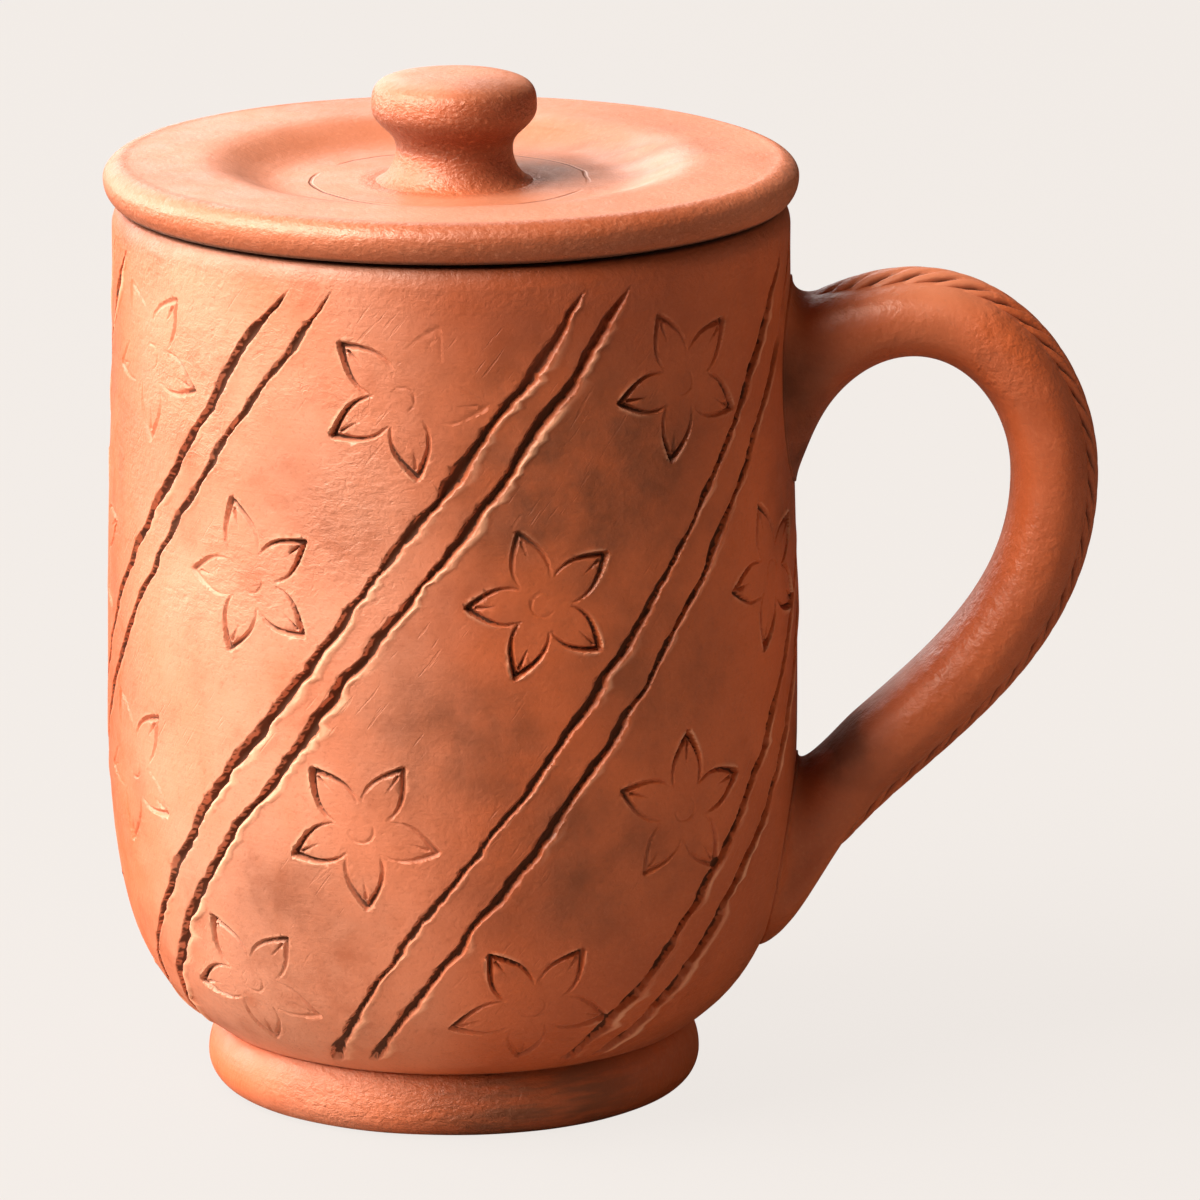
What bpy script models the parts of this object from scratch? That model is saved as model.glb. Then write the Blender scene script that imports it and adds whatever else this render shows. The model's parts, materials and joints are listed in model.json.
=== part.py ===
"""A lidded earthenware mug, built the way a potter builds one.

A thrown body, carved with leaning pairs of grooves, stands on a coiled foot ring. A pulled strap
handle with flared roots is luted to the wall, and a twisted rope of clay is pressed along its back.
The lid is a dished plate with a turned knob on top and a locating flange below, and it lifts straight
off the rim.

Metres, +Z up. The mug stands on Z = 0 and its handle points along +X. The origin is the middle of
the standing box, so the mug's own axis lies a little towards -X of it.
"""

import math

import bmesh
import bpy
from mathutils import Vector
from mathutils.geometry import interpolate_bezier

# Gap between two pieces that are luted or rest together
SLIP = 0.0003

# Body: a near cylinder, whose belly swells a little past the rim
BODY_HEIGHT = 0.1118
RIM_RADIUS = 0.0420
BELLY_SWELL = 0.0011
BELLY_HEIGHT = 0.0485
RIM_ROUND = 0.0012
RIM_ROUND_LIMIT = 0.4
WALL = 0.0048
FLOOR = 0.0060
FLOOR_RADIUS = 0.0215
BASE_RADIUS = 0.0296
TUCK_ANGLE = math.radians(34)

# How far each curve of the wall leans on its end directions
TUCK_PULL = 0.0098
BELLY_LOWER_PULL = 0.0288
BELLY_UPPER_PULL = 0.0265
RIM_PULL = 0.0256
FLOOR_PULL = 0.0105

# Carved bands: each is a pair of grooves that lean across the wall from the rim to the foot joint
BANDS = 7
BAND_ANGLE = math.radians(-65.4)
BAND_LEAN = 0.77
BAND_GAP = 0.0065
BAND_TOP_DROP = 0.0028
BAND_FOOT_RISE = 0.0015
GROOVE_WIDTH = 0.0016
GROOVE_DEPTH = 0.0009
GROOVE_RUN_OUT = 0.0030
WIPED_MARGIN = 0.0045

# Foot ring
FOOT_HEIGHT = 0.0081
FOOT_RADIUS = 0.0307
FOOT_SWELL_HEIGHT = 0.0037
FOOT_BEARING_RADIUS = 0.0274
FOOT_BEARING_WIDTH = 0.0029
FOOT_HOLE_RADIUS = 0.0230
FOOT_TOP_DROOP = 0.0049

# Lid plate, measured up from its seat on the rim
LID_OVERHANG = 0.0008
LID_RIM_HEIGHT = 0.0049
LID_SWELL_HEIGHT = 0.0023
LID_EDGE_ROUND = 0.0025
LID_SEAT_INSET = 0.0013
LID_SEAT_ANGLE = math.radians(40)
LID_WALL = 0.0050
DISH_DEPTH = 0.0028
DISH_RADIUS = 0.0195
DISH_STEP = 0.0125
LID_PLAY = 0.0008
BOSS_ROUND = 0.0008

# Locating flange under the lid
FLANGE_WALL = 0.0040
FLANGE_DEPTH = 0.0054
FLANGE_TAPER = 0.0008

# Knob, measured up from the dish
KNOB_HEIGHT = 0.0142
KNOB_RADIUS = 0.0102
KNOB_SWELL_RISE = 0.0102
KNOB_NECK_RADIUS = 0.0077
KNOB_NECK_RISE = 0.0041
KNOB_BASE_RADIUS = 0.0108
KNOB_CROWN_PULL = 0.0065

# How far the knob's neck and flare lean on their end directions, as shares of their own height or reach
NECK_LEAN = 0.4
FLARE_DROP_LEAN = 0.5
FLARE_OUT_LEAN = 0.6

# Handle strap: drops are measured down from the rim, rises up from the table, outs from the wall
STRAP_THICKNESS = 0.0096
STRAP_WIDTH = 0.0150
STRAP_SQUARENESS = 2.4
ROOT_EASE = 3
ROOT_THICKNESS = 0.0218
ROOT_WIDTH = 0.0200
ROOT_BED = 0.0053
ROOT_DROP = 0.0248
ROOT_ANGLE = math.radians(31)
ROOT_PULL = 0.0051
CREST_DROP = 0.0146
CREST_OUT = 0.0149
CREST_PULL = 0.0087
BOW_DROP = 0.0347
BOW_OUT = 0.0313
BOW_PULL = 0.0164
TAIL_RISE = 0.0420
TAIL_OUT = 0.0092
TAIL_ANGLE = math.radians(-138)
TAIL_UPPER_PULL = 0.0142
TAIL_LOWER_PULL = 0.0244
TOE_THICKNESS = 0.0025
TOE_WIDTH = 0.0170
TOE_BED = 0.0016
TOE_RISE = 0.0185
TOE_ANGLE = math.radians(-137)
TOE_PULL = 0.0075

# Twisted rope on the strap's back
ROPE_RADIUS = 0.0036
ROPE_PROUD = 0.0013
ROPE_LAY = 0.0210
ROPE_STRANDS = 5
ROPE_NOTCH = 0.0006
ROPE_NOTCH_SHARPNESS = 8
ROPE_TOP_GAP = 0.0020
ROPE_TAIL_GAP = 0.0042

# Facets
TURN_STEPS = 64
FLANGE_STEPS = 48
KNOB_STEPS = 32
PLAIN_STEPS = 6
WALL_STEPS = 8
INSIDE_STEPS = 4
TUCK_STEPS = 10
CORNER_STEPS = 5
LIP_STEPS = 3
FOOT_UPPER_STEPS = 3
FOOT_LOWER_STEPS = 5
DISH_STEPS = 5
LID_UPPER_STEPS = 5
LID_LOWER_STEPS = 4
CROWN_STEPS = 7
NECK_STEPS = 5
STRAP_STEPS = 10
STRAP_SIDES = 20
ROPE_SIDES_PER_STRAND = 5
ROPE_STEPS_PER_LAY = 20

# How far a quarter of an ellipse's handles reach, as a share of its half axis
QUARTER = 0.5523

# Points nearer than this are one
MERGE = 0.00001

# Edges bent more than this show as creases
CREASE_ANGLE = math.radians(40)

CLAY = (0.46, 0.16, 0.07)
DARK_CLAY = (0.36, 0.12, 0.05)
PALE_CLAY = (0.55, 0.22, 0.11)
CLAY_ROUGHNESS = 0.5

BELLY_RADIUS = RIM_RADIUS + BELLY_SWELL
LID_RADIUS = RIM_RADIUS + LID_OVERHANG
MOUTH_RADIUS = RIM_RADIUS - WALL
BOSS_RADIUS = MOUTH_RADIUS - LID_PLAY
LID_SEAT = BODY_HEIGHT + SLIP
DISH_RISE = LID_RIM_HEIGHT - DISH_DEPTH
BOSS_RISE = DISH_RISE - LID_WALL


def heading(angle, length):
    return Vector((math.cos(angle), math.sin(angle))) * length


def stretch(start, start_pull, end_pull, end, steps):
    """Points of one curve that leaves start and reaches end along the two pulls."""
    return interpolate_bezier(start, start + start_pull, end + end_pull, end, steps + 1)


def arc(centre, radius_r, radius_z, start, end, steps):
    """Points of an elliptic arc, with its angles in degrees from the outward direction."""
    angles = [math.radians(start + (end - start) * i / steps) for i in range(steps + 1)]
    return [centre + Vector((radius_r * math.cos(a), radius_z * math.sin(a))) for a in angles]


def outward(points, i):
    """The direction square to a line of points, on the left of one who walks along it."""
    along = points[min(i + 1, len(points) - 1)] - points[max(i - 1, 0)]
    return Vector((-along.y, along.x)).normalized()


def turned_to(point, angle):
    """A profile's point, turned about the axis."""
    return (point.x * math.cos(angle), point.x * math.sin(angle), point.y)


def joined(*runs):
    """The runs as one list of points, each run starting where the last one ended."""
    points = list(runs[0])
    for run in runs[1:]:
        points += run[1:]
    return points


def wall_run(inset, steps):
    """The wall's side from the rim's edge to the belly, moved in from the outside."""
    rim = Vector((RIM_RADIUS - inset, BODY_HEIGHT - rim_round()))
    belly = Vector((BELLY_RADIUS - inset, BELLY_HEIGHT))
    return stretch(rim, Vector((0, -RIM_PULL)), Vector((0, BELLY_UPPER_PULL)), belly, steps)


def rim_round():
    """The rim's rounding, which a thin wall limits."""
    return min(RIM_ROUND, RIM_ROUND_LIMIT * WALL)


def outer_wall():
    """The outside of the body from the rim's edge down to the foot joint."""
    belly = Vector((BELLY_RADIUS, BELLY_HEIGHT))
    base = Vector((BASE_RADIUS, FOOT_HEIGHT))
    tuck = heading(TUCK_ANGLE, TUCK_PULL)
    lower = stretch(belly, Vector((0, -BELLY_LOWER_PULL)), tuck, base, TUCK_STEPS)
    return joined(wall_run(0, WALL_STEPS), lower)


def inside_profile():
    """The inside of the body from the floor's edge up to the top of the rim."""
    edge = Vector((FLOOR_RADIUS, FOOT_HEIGHT + FLOOR))
    belly = Vector((BELLY_RADIUS - WALL, BELLY_HEIGHT))
    rise = Vector((0, -BELLY_LOWER_PULL))
    corner = stretch(edge, Vector((FLOOR_PULL, 0)), rise, belly, CORNER_STEPS)
    lip = rim_round()
    rim = arc(Vector((MOUTH_RADIUS + lip, BODY_HEIGHT - lip)), lip, lip, 180, 90, LIP_STEPS)
    return joined(corner, wall_run(WALL, INSIDE_STEPS)[::-1], rim)


def outside_profile():
    """The outside of the body from the top of the rim down to the foot joint."""
    lip = rim_round()
    rim = arc(Vector((RIM_RADIUS - lip, BODY_HEIGHT - lip)), lip, lip, 90, 0, LIP_STEPS)
    return joined(rim, outer_wall())


def wall_radius(height):
    """The body's outer radius at a height."""
    points = outer_wall()
    for upper, lower in zip(points, points[1:]):
        if lower.y <= height <= upper.y:
            share = (height - lower.y) / (upper.y - lower.y)
            return lower.x + (upper.x - lower.x) * share
    return RIM_RADIUS if height > BELLY_HEIGHT else BASE_RADIUS


def band_columns():
    """Angles round the wall where the bands start, each with its share of a groove's depth."""
    pitch = 2 * math.pi / BANDS
    gap = BAND_GAP / BELLY_RADIUS
    half = GROOVE_WIDTH / 2 * math.hypot(1, BAND_LEAN) / BELLY_RADIUS
    plain = pitch - gap - 2 * half
    columns = []
    for band in range(BANDS):
        start = BAND_ANGLE + pitch * band
        for groove in (start, start + gap):
            columns += [(groove - half, 0), (groove, 1), (groove + half, 0)]
        columns += [(start + gap + half + plain * i / PLAIN_STEPS, 0) for i in range(1, PLAIN_STEPS)]
    return columns


def lean_at(height):
    """How far round the wall a band is at a height, from where it starts under the rim."""
    return BAND_LEAN * (height - BODY_HEIGHT + BAND_TOP_DROP) / BELLY_RADIUS


def wiped(angle, height):
    """Whether the wall is wiped smooth here, round one of the handle's roots."""
    across = abs(wall_radius(height) * math.sin(angle)) - WIPED_MARGIN
    off_root = abs(height - BODY_HEIGHT + ROOT_DROP) - WIPED_MARGIN
    off_toe = abs(height - (TOE_RISE + TAIL_RISE) / 2) - WIPED_MARGIN
    by_root = across < ROOT_WIDTH / 2 and off_root < ROOT_THICKNESS / 2 / math.cos(ROOT_ANGLE)
    by_toe = across < TOE_WIDTH / 2 and off_toe < (TAIL_RISE - TOE_RISE) / 2
    return math.cos(angle) > 0 and (by_root or by_toe)


def groove_depth(angle, height):
    """A groove's depth at a place on the wall, running out at both ends."""
    run = min(BODY_HEIGHT - BAND_TOP_DROP - height, height - FOOT_HEIGHT - BAND_FOOT_RISE)
    return 0 if wiped(angle, height) else GROOVE_DEPTH * max(0, min(1, run / GROOVE_RUN_OUT))


def body_sections():
    """Rings up the plain inside, over the rim and down the outside, where they turn with the bands."""
    columns = band_columns()
    start = lean_at(BODY_HEIGHT)
    rings = [[turned_to(point, angle + start) for angle, share in columns] for point in inside_profile()]
    outside = outside_profile()
    for i, point in enumerate(outside):
        inward = -outward(outside, i)
        ring = []
        for angle, share in columns:
            place = angle + lean_at(point.y)
            ring.append(turned_to(point + inward * share * groove_depth(place, point.y), place))
        rings.append(ring)
    return rings


def foot_profile():
    """A closed loop: the swollen outside, the flat bearing face and the straight hole."""
    top = FOOT_HEIGHT - SLIP
    swell = FOOT_RADIUS - FOOT_BEARING_RADIUS
    centre = Vector((FOOT_BEARING_RADIUS, FOOT_SWELL_HEIGHT))
    lift = math.degrees(math.asin(min(1, (top - FOOT_SWELL_HEIGHT) / FOOT_TOP_DROOP)))
    upper = arc(centre, swell, FOOT_TOP_DROOP, lift, 0, FOOT_UPPER_STEPS)
    lower = arc(centre, swell, FOOT_SWELL_HEIGHT, 0, -90, FOOT_LOWER_STEPS)
    inner_edge = FOOT_BEARING_RADIUS - FOOT_BEARING_WIDTH
    chamfer = inner_edge - FOOT_HOLE_RADIUS
    hole = [Vector((inner_edge, 0)), Vector((FOOT_HOLE_RADIUS, chamfer)), Vector((FOOT_HOLE_RADIUS, top))]
    return joined(upper, lower) + hole


def lid_profile():
    """From the middle of the dish, over the rim and the seat, to the middle of the boss."""
    dish_edge = Vector((DISH_RADIUS, DISH_RISE))
    dish_top = Vector((DISH_RADIUS + DISH_STEP, LID_RIM_HEIGHT))
    ease = Vector((DISH_STEP / 2, 0))
    swell = Vector((LID_RADIUS, LID_SWELL_HEIGHT))
    shoulder = Vector((LID_RADIUS - LID_EDGE_ROUND, LID_RIM_HEIGHT))
    seat = Vector((LID_RADIUS - LID_SEAT_INSET, 0))
    rise = Vector((0, QUARTER * (LID_RIM_HEIGHT - LID_SWELL_HEIGHT)))
    fall = Vector((0, -QUARTER * LID_SWELL_HEIGHT))
    tuck = heading(LID_SEAT_ANGLE, LID_SEAT_INSET / 2)
    upper_edge = stretch(shoulder, Vector((QUARTER * LID_EDGE_ROUND, 0)), rise, swell, LID_UPPER_STEPS)
    lower_edge = stretch(swell, fall, tuck, seat, LID_LOWER_STEPS)
    boss_round = Vector((BOSS_RADIUS - BOSS_ROUND, BOSS_RISE))
    return joined(
        [Vector((0, DISH_RISE)), dish_edge],
        stretch(dish_edge, ease, -ease, dish_top, DISH_STEPS),
        [dish_top, shoulder],
        upper_edge,
        lower_edge,
        [seat, Vector((BOSS_RADIUS, 0)), Vector((BOSS_RADIUS, BOSS_RISE + BOSS_ROUND))],
        [Vector((BOSS_RADIUS, BOSS_RISE + BOSS_ROUND)), boss_round, Vector((0, BOSS_RISE))],
    )


def flange_profile():
    """A closed loop hanging under the boss, drawn in a little at its lower edge."""
    top = BOSS_RISE - SLIP
    foot = top - FLANGE_DEPTH
    inner = BOSS_RADIUS - FLANGE_WALL
    return [
        Vector((BOSS_RADIUS, top)),
        Vector((BOSS_RADIUS, foot + FLANGE_TAPER)),
        Vector((BOSS_RADIUS - FLANGE_TAPER, foot)),
        Vector((inner + FLANGE_TAPER, foot)),
        Vector((inner, foot + FLANGE_TAPER)),
        Vector((inner, top)),
    ]


def knob_profile():
    """From the middle of the crown down the head, neck and flared base."""
    foot = DISH_RISE + SLIP
    crown = Vector((0, DISH_RISE + KNOB_HEIGHT))
    head = Vector((KNOB_RADIUS, DISH_RISE + KNOB_SWELL_RISE))
    neck = Vector((KNOB_NECK_RADIUS, DISH_RISE + KNOB_NECK_RISE))
    base = Vector((KNOB_BASE_RADIUS, foot))
    up = Vector((0, QUARTER * (KNOB_HEIGHT - KNOB_SWELL_RISE)))
    narrowing = Vector((0, NECK_LEAN * (KNOB_SWELL_RISE - KNOB_NECK_RISE)))
    drop = Vector((0, -FLARE_DROP_LEAN * (neck.y - foot)))
    flare = Vector((FLARE_OUT_LEAN * (KNOB_NECK_RADIUS - KNOB_BASE_RADIUS), 0))
    return joined(
        stretch(crown, Vector((KNOB_CROWN_PULL, 0)), up, head, CROWN_STEPS),
        stretch(head, -narrowing, narrowing, neck, NECK_STEPS),
        stretch(neck, drop, flare, base, NECK_STEPS),
        [base, Vector((0, foot))],
    )


def handle_path():
    """The strap's middle line in the XZ plane, from its root under the rim down to its toe."""
    root_height = BODY_HEIGHT - ROOT_DROP
    crest_height = BODY_HEIGHT - CREST_DROP
    bow_height = BODY_HEIGHT - BOW_DROP
    root = Vector((wall_radius(root_height) - ROOT_BED, root_height))
    crest = Vector((wall_radius(crest_height) + CREST_OUT, crest_height))
    bow = Vector((wall_radius(bow_height) + BOW_OUT, bow_height))
    tail = Vector((wall_radius(TAIL_RISE) + TAIL_OUT, TAIL_RISE))
    toe = Vector((wall_radius(TOE_RISE) - TOE_BED, TOE_RISE))
    over = Vector((QUARTER * (bow.x - crest.x), 0))
    down = Vector((0, QUARTER * (bow.y - crest.y)))
    tail_in, tail_out = heading(TAIL_ANGLE, -TAIL_UPPER_PULL), heading(TAIL_ANGLE, TAIL_LOWER_PULL)
    return joined(
        stretch(root, heading(ROOT_ANGLE, ROOT_PULL), Vector((-CREST_PULL, 0)), crest, STRAP_STEPS),
        stretch(crest, over, -down, bow, STRAP_STEPS),
        stretch(bow, Vector((0, -BOW_PULL)), tail_in, tail, STRAP_STEPS),
        stretch(tail, tail_out, heading(TOE_ANGLE, -TOE_PULL), toe, STRAP_STEPS),
    )


def eased(end, strap, share):
    """A size that eases from its value at one end to the strap's as share goes from 0 to 1."""
    return strap + (end - strap) * (1 - share) ** ROOT_EASE


def strap_stations():
    """The middle, outward normal, half thickness and half width of the strap at each station."""
    points = handle_path()
    last = len(points) - 1
    stations = []
    for i, point in enumerate(points):
        at_root = i < last / 2
        share = min(1, (i if at_root else last - i) / STRAP_STEPS)
        thickness = eased(ROOT_THICKNESS if at_root else TOE_THICKNESS, STRAP_THICKNESS, share)
        width = eased(ROOT_WIDTH if at_root else TOE_WIDTH, STRAP_WIDTH, share)
        stations.append((point, outward(points, i), thickness / 2, width / 2))
    return stations


def strap_section(station, clearance):
    """One rounded-oblong ring of the strap, grown by a clearance."""
    middle, out_way, half_thickness, half_width = station
    ring = []
    for side in range(STRAP_SIDES):
        angle = 2 * math.pi * side / STRAP_SIDES
        across = rounded(math.cos(angle)) * (half_width + clearance)
        out = rounded(math.sin(angle)) * (half_thickness + clearance)
        at = middle + out_way * out
        ring.append((at.x, across, at.y))
    return ring


def rounded(value):
    """A circle's coordinate, pushed towards the strap's squarer section."""
    return math.copysign(abs(value) ** (2 / STRAP_SQUARENESS), value)


def rope_route():
    """Evenly spaced points of the rope's middle, sunk in the strap's back."""
    sunk = ROPE_RADIUS - ROPE_PROUD
    line = []
    for middle, out_way, half_thickness, half_width in strap_stations():
        back = middle + out_way * half_thickness
        gap = ROPE_TOP_GAP if back.y > BELLY_HEIGHT else ROPE_TAIL_GAP
        if back.x > wall_radius(back.y) + gap:
            line.append(back - out_way * sunk)
    return spaced(line, ROPE_LAY / ROPE_STEPS_PER_LAY)


def spaced(line, step):
    """Points a step apart along a line of points."""
    points, left = [line[0]], step
    for start, end in zip(line, line[1:]):
        run = (end - start).length
        while left <= run:
            points.append(start.lerp(end, left / run))
            left += step
        left -= run
    return points


def new_collection(name):
    collection = bpy.data.collections.new(name)
    bpy.context.scene.collection.children.link(collection)
    return collection


def empty(name, parent, location):
    frame = bpy.data.objects.new(name, None)
    frame.parent = parent
    frame.location = location
    PARTS.objects.link(frame)
    return frame


def fired_clay(name, colour):
    material = bpy.data.materials.new(name)
    material.use_nodes = True
    shader = material.node_tree.nodes["Principled BSDF"]
    shader.inputs["Base Color"].default_value = (*colour, 1)
    shader.inputs["Roughness"].default_value = CLAY_ROUGHNESS
    shader.inputs["Metallic"].default_value = 0
    return material


def piece(name, mesh, parent, colour):
    """A named sub-part on its parent, with a material of its own."""
    mesh.materials.append(fired_clay(name + "_clay", colour))
    mesh.shade_smooth()
    mesh.set_sharp_from_angle(angle=CREASE_ANGLE)
    part = bpy.data.objects.new(name, mesh)
    part.parent = parent
    PARTS.objects.link(part)
    return part


def cutter(name, mesh, parent):
    tool = bpy.data.objects.new(name, mesh)
    tool.parent = parent
    tool.hide_render = True
    tool.display_type = "WIRE"
    CUTTERS.objects.link(tool)
    return tool


def profile_mesh(name, profile, closed):
    edges = [(i, i + 1) for i in range(len(profile) - 1)]
    if closed:
        edges.append((len(profile) - 1, 0))
    mesh = bpy.data.meshes.new(name)
    mesh.from_pydata([(point.x, 0, point.y) for point in profile], edges, [])
    return mesh


def turn(part, steps):
    """Turns a profile about the part's own Z axis."""
    screw = part.modifiers.new("turn", "SCREW")
    screw.axis = "Z"
    screw.steps = steps
    screw.render_steps = steps
    screw.use_merge_vertices = True
    screw.merge_threshold = MERGE
    screw.use_smooth_shade = True


def turned(name, profile, parent, colour, steps, closed=False):
    part = piece(name, profile_mesh(name, profile, closed), parent, colour)
    turn(part, steps)
    return part


def cut(part, tool, name):
    boolean = part.modifiers.new(name, "BOOLEAN")
    boolean.operation = "DIFFERENCE"
    boolean.solver = "EXACT"
    boolean.object = tool


def loft(name, sections):
    """A mesh through rings of points, closed at both ends."""
    shape = bmesh.new()
    rings = [[shape.verts.new(co) for co in section] for section in sections]
    for ring, following in zip(rings, rings[1:]):
        for i in range(len(ring)):
            j = (i + 1) % len(ring)
            shape.faces.new((ring[i], ring[j], following[j], following[i]))
    shape.faces.new(rings[0])
    shape.faces.new(rings[-1])
    bmesh.ops.recalc_face_normals(shape, faces=shape.faces)
    mesh = bpy.data.meshes.new(name)
    shape.to_mesh(mesh)
    shape.free()
    return mesh


def strap_mesh(name, clearance):
    return loft(name, [strap_section(station, clearance) for station in strap_stations()])


def poly_curve(name, points, closed, dimensions):
    curve = bpy.data.curves.new(name, "CURVE")
    curve.dimensions = dimensions
    spline = curve.splines.new("POLY")
    spline.points.add(len(points) - 1)
    for knot, co in zip(spline.points, points):
        knot.co = (*co, 1)
    spline.use_cyclic_u = closed
    return curve


def rope_mesh(name, parent):
    """A lobed section drawn along the route and twisted once for each lay."""
    section = []
    sides = ROPE_SIDES_PER_STRAND * ROPE_STRANDS
    for side in range(sides):
        angle = 2 * math.pi * side / sides
        between = abs(math.sin(ROPE_STRANDS * angle / 2))
        radius = ROPE_RADIUS - ROPE_NOTCH * between ** ROPE_NOTCH_SHARPNESS
        section.append((radius * math.cos(angle), radius * math.sin(angle), 0))
    lobes = cutter("rope_section", poly_curve("rope_section", section, True, "2D"), parent)
    route = poly_curve(name, [(p.x, 0, p.y) for p in rope_route()], False, "3D")
    route.bevel_mode = "OBJECT"
    route.bevel_object = lobes
    route.use_fill_caps = True
    for i, knot in enumerate(route.splines[0].points):
        knot.tilt = -2 * math.pi * i / ROPE_STEPS_PER_LAY
    drawn = bpy.data.objects.new(name, route)
    CUTTERS.objects.link(drawn)
    bpy.context.view_layer.update()
    mesh = bpy.data.meshes.new_from_object(drawn.evaluated_get(bpy.context.evaluated_depsgraph_get()))
    bpy.data.objects.remove(drawn)
    shape = bmesh.new()
    shape.from_mesh(mesh)
    bmesh.ops.remove_doubles(shape, verts=shape.verts, dist=MERGE)
    bmesh.ops.recalc_face_normals(shape, faces=shape.faces)
    shape.to_mesh(mesh)
    shape.free()
    return mesh


def make_body(axis):
    body = piece("mug_body", loft("mug_body", body_sections()), axis, CLAY)
    facets = body.modifiers.new("facets", "TRIANGULATE")
    facets.quad_method = "SHORTEST_DIAGONAL"
    turned("foot_ring", foot_profile(), axis, CLAY, TURN_STEPS, closed=True)


def make_handle(axis):
    grown = [point + Vector((SLIP, 0)) for point in outer_wall()]
    solid = [Vector((0, BODY_HEIGHT))] + grown + [Vector((0, FOOT_HEIGHT))]
    wall = cutter("wall_line", profile_mesh("wall_line", solid, False), axis)
    turn(wall, TURN_STEPS)
    strap = cutter("strap_line", strap_mesh("strap_line", SLIP), axis)
    cut(piece("handle", strap_mesh("handle", 0), axis, DARK_CLAY), wall, "wall")
    rope = piece("handle_rope", rope_mesh("handle_rope", axis), axis, DARK_CLAY)
    cut(rope, strap, "strap")
    cut(rope, wall, "wall")


def make_lid(axis):
    turned("lid_plate", lid_profile(), axis, PALE_CLAY, TURN_STEPS)
    turned("lid_flange", flange_profile(), axis, PALE_CLAY, FLANGE_STEPS, closed=True)
    turned("lid_knob", knob_profile(), axis, PALE_CLAY, KNOB_STEPS)


def handle_reach():
    """The furthest that the handle, with its rope, stands from the mug's axis."""
    return ROPE_PROUD + max((at + out * half).x for at, out, half, width in strap_stations())


for old in list(bpy.data.objects):
    bpy.data.objects.remove(old)
PARTS = new_collection("lidded_mug")
CUTTERS = new_collection("cutters")
mug_axis = empty("mug_axis", None, ((BELLY_RADIUS - handle_reach()) / 2, 0, 0))
lid_axis = empty("lid_axis", mug_axis, (0, 0, LID_SEAT))
make_body(mug_axis)
make_handle(mug_axis)
make_lid(lid_axis)
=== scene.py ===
"""The looks of the lidded mug: burnished red earthenware with carved bands and stamped flowers.

Metres, +Z up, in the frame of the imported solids. The mug's own axis stands at AXIS_X, its handle
points along +X and the photographed side faces -Y.
"""

import json
import math

import bmesh
import bpy
import numpy as np
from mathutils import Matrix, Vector

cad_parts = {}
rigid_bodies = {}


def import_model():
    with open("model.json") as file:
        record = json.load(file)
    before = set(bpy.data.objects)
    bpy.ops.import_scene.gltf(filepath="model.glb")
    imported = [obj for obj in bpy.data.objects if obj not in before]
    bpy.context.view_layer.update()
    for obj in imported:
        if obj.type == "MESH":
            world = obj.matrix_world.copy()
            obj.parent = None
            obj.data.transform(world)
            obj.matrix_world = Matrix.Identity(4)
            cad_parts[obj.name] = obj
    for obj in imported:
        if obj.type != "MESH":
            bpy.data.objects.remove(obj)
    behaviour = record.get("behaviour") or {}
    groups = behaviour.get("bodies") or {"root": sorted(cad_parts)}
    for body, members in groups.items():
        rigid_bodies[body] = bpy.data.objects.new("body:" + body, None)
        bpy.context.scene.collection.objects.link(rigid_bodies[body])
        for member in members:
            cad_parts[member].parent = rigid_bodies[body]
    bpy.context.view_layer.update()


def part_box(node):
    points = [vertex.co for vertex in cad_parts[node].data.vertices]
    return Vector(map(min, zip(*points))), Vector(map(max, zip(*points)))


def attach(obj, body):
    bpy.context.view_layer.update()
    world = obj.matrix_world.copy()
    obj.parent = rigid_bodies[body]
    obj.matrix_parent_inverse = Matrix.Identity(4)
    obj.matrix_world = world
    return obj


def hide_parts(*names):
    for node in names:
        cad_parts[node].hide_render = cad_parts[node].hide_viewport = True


for old in list(bpy.data.objects):
    bpy.data.objects.remove(old)
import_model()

# The gap that touching solids keep
SEAT_GAP = 0.0003

# Sizes that the solids give
body_low, body_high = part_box("mug_body")
foot_low, foot_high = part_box("foot_ring")
lid_low, lid_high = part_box("lid_plate")
flange_low, flange_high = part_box("lid_flange")
knob_low, knob_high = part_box("lid_knob")
AXIS_X = (lid_low.x + lid_high.x) / 2
BELLY_RADIUS = max(AXIS_X - body_low.x, body_high.x - AXIS_X, body_high.y)
BASE_HEIGHT = body_low.z
RIM_HEIGHT = body_high.z
FOOT_RADIUS = (foot_high.x - foot_low.x) / 2
LID_RADIUS = (lid_high.x - lid_low.x) / 2
LID_TOP = lid_high.z
BOSS_BOTTOM = lid_low.z
FLANGE_RADIUS = (flange_high.x - flange_low.x) / 2
KNOB_TOP = knob_high.z
KNOB_BASE_RADIUS = (knob_high.x - knob_low.x) / 2
DISH_HEIGHT = knob_low.z - SEAT_GAP

# Body wall
RIM_RADIUS = 0.0420
RIM_ROUND = 0.0017
RIM_SHOULDER = 0.0030
BELLY_HEIGHT = 0.0485
WALL = 0.0048
FLOOR_HEIGHT = 0.0141
FLOOR_RADIUS = 0.0215
BASE_RADIUS = 0.0296
TUCK_ANGLE = math.radians(34)
TUCK_PULL = 0.0098
BELLY_LOWER_PULL = 0.0288
BELLY_UPPER_PULL = 0.0265
RIM_PULL = 0.0256
FLOOR_PULL = 0.0105
HAND_WAVES = 14
HAND_PITCHES = (0.028, 0.090)
HAND_LUMP = 0.00016
HAND_SINK = 1.5
BELLY_MARGIN = 0.00003

# Foot ring
FOOT_SWELL_HEIGHT = 0.0037
FOOT_BEARING_RADIUS = 0.0274
FOOT_BEARING_WIDTH = 0.0029
FOOT_HOLE_RADIUS = 0.0230
FOOT_TOP_DROOP = 0.0049
FOOT_TOP_TURN = 84
FOOT_LIFT = 0.00006

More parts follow.
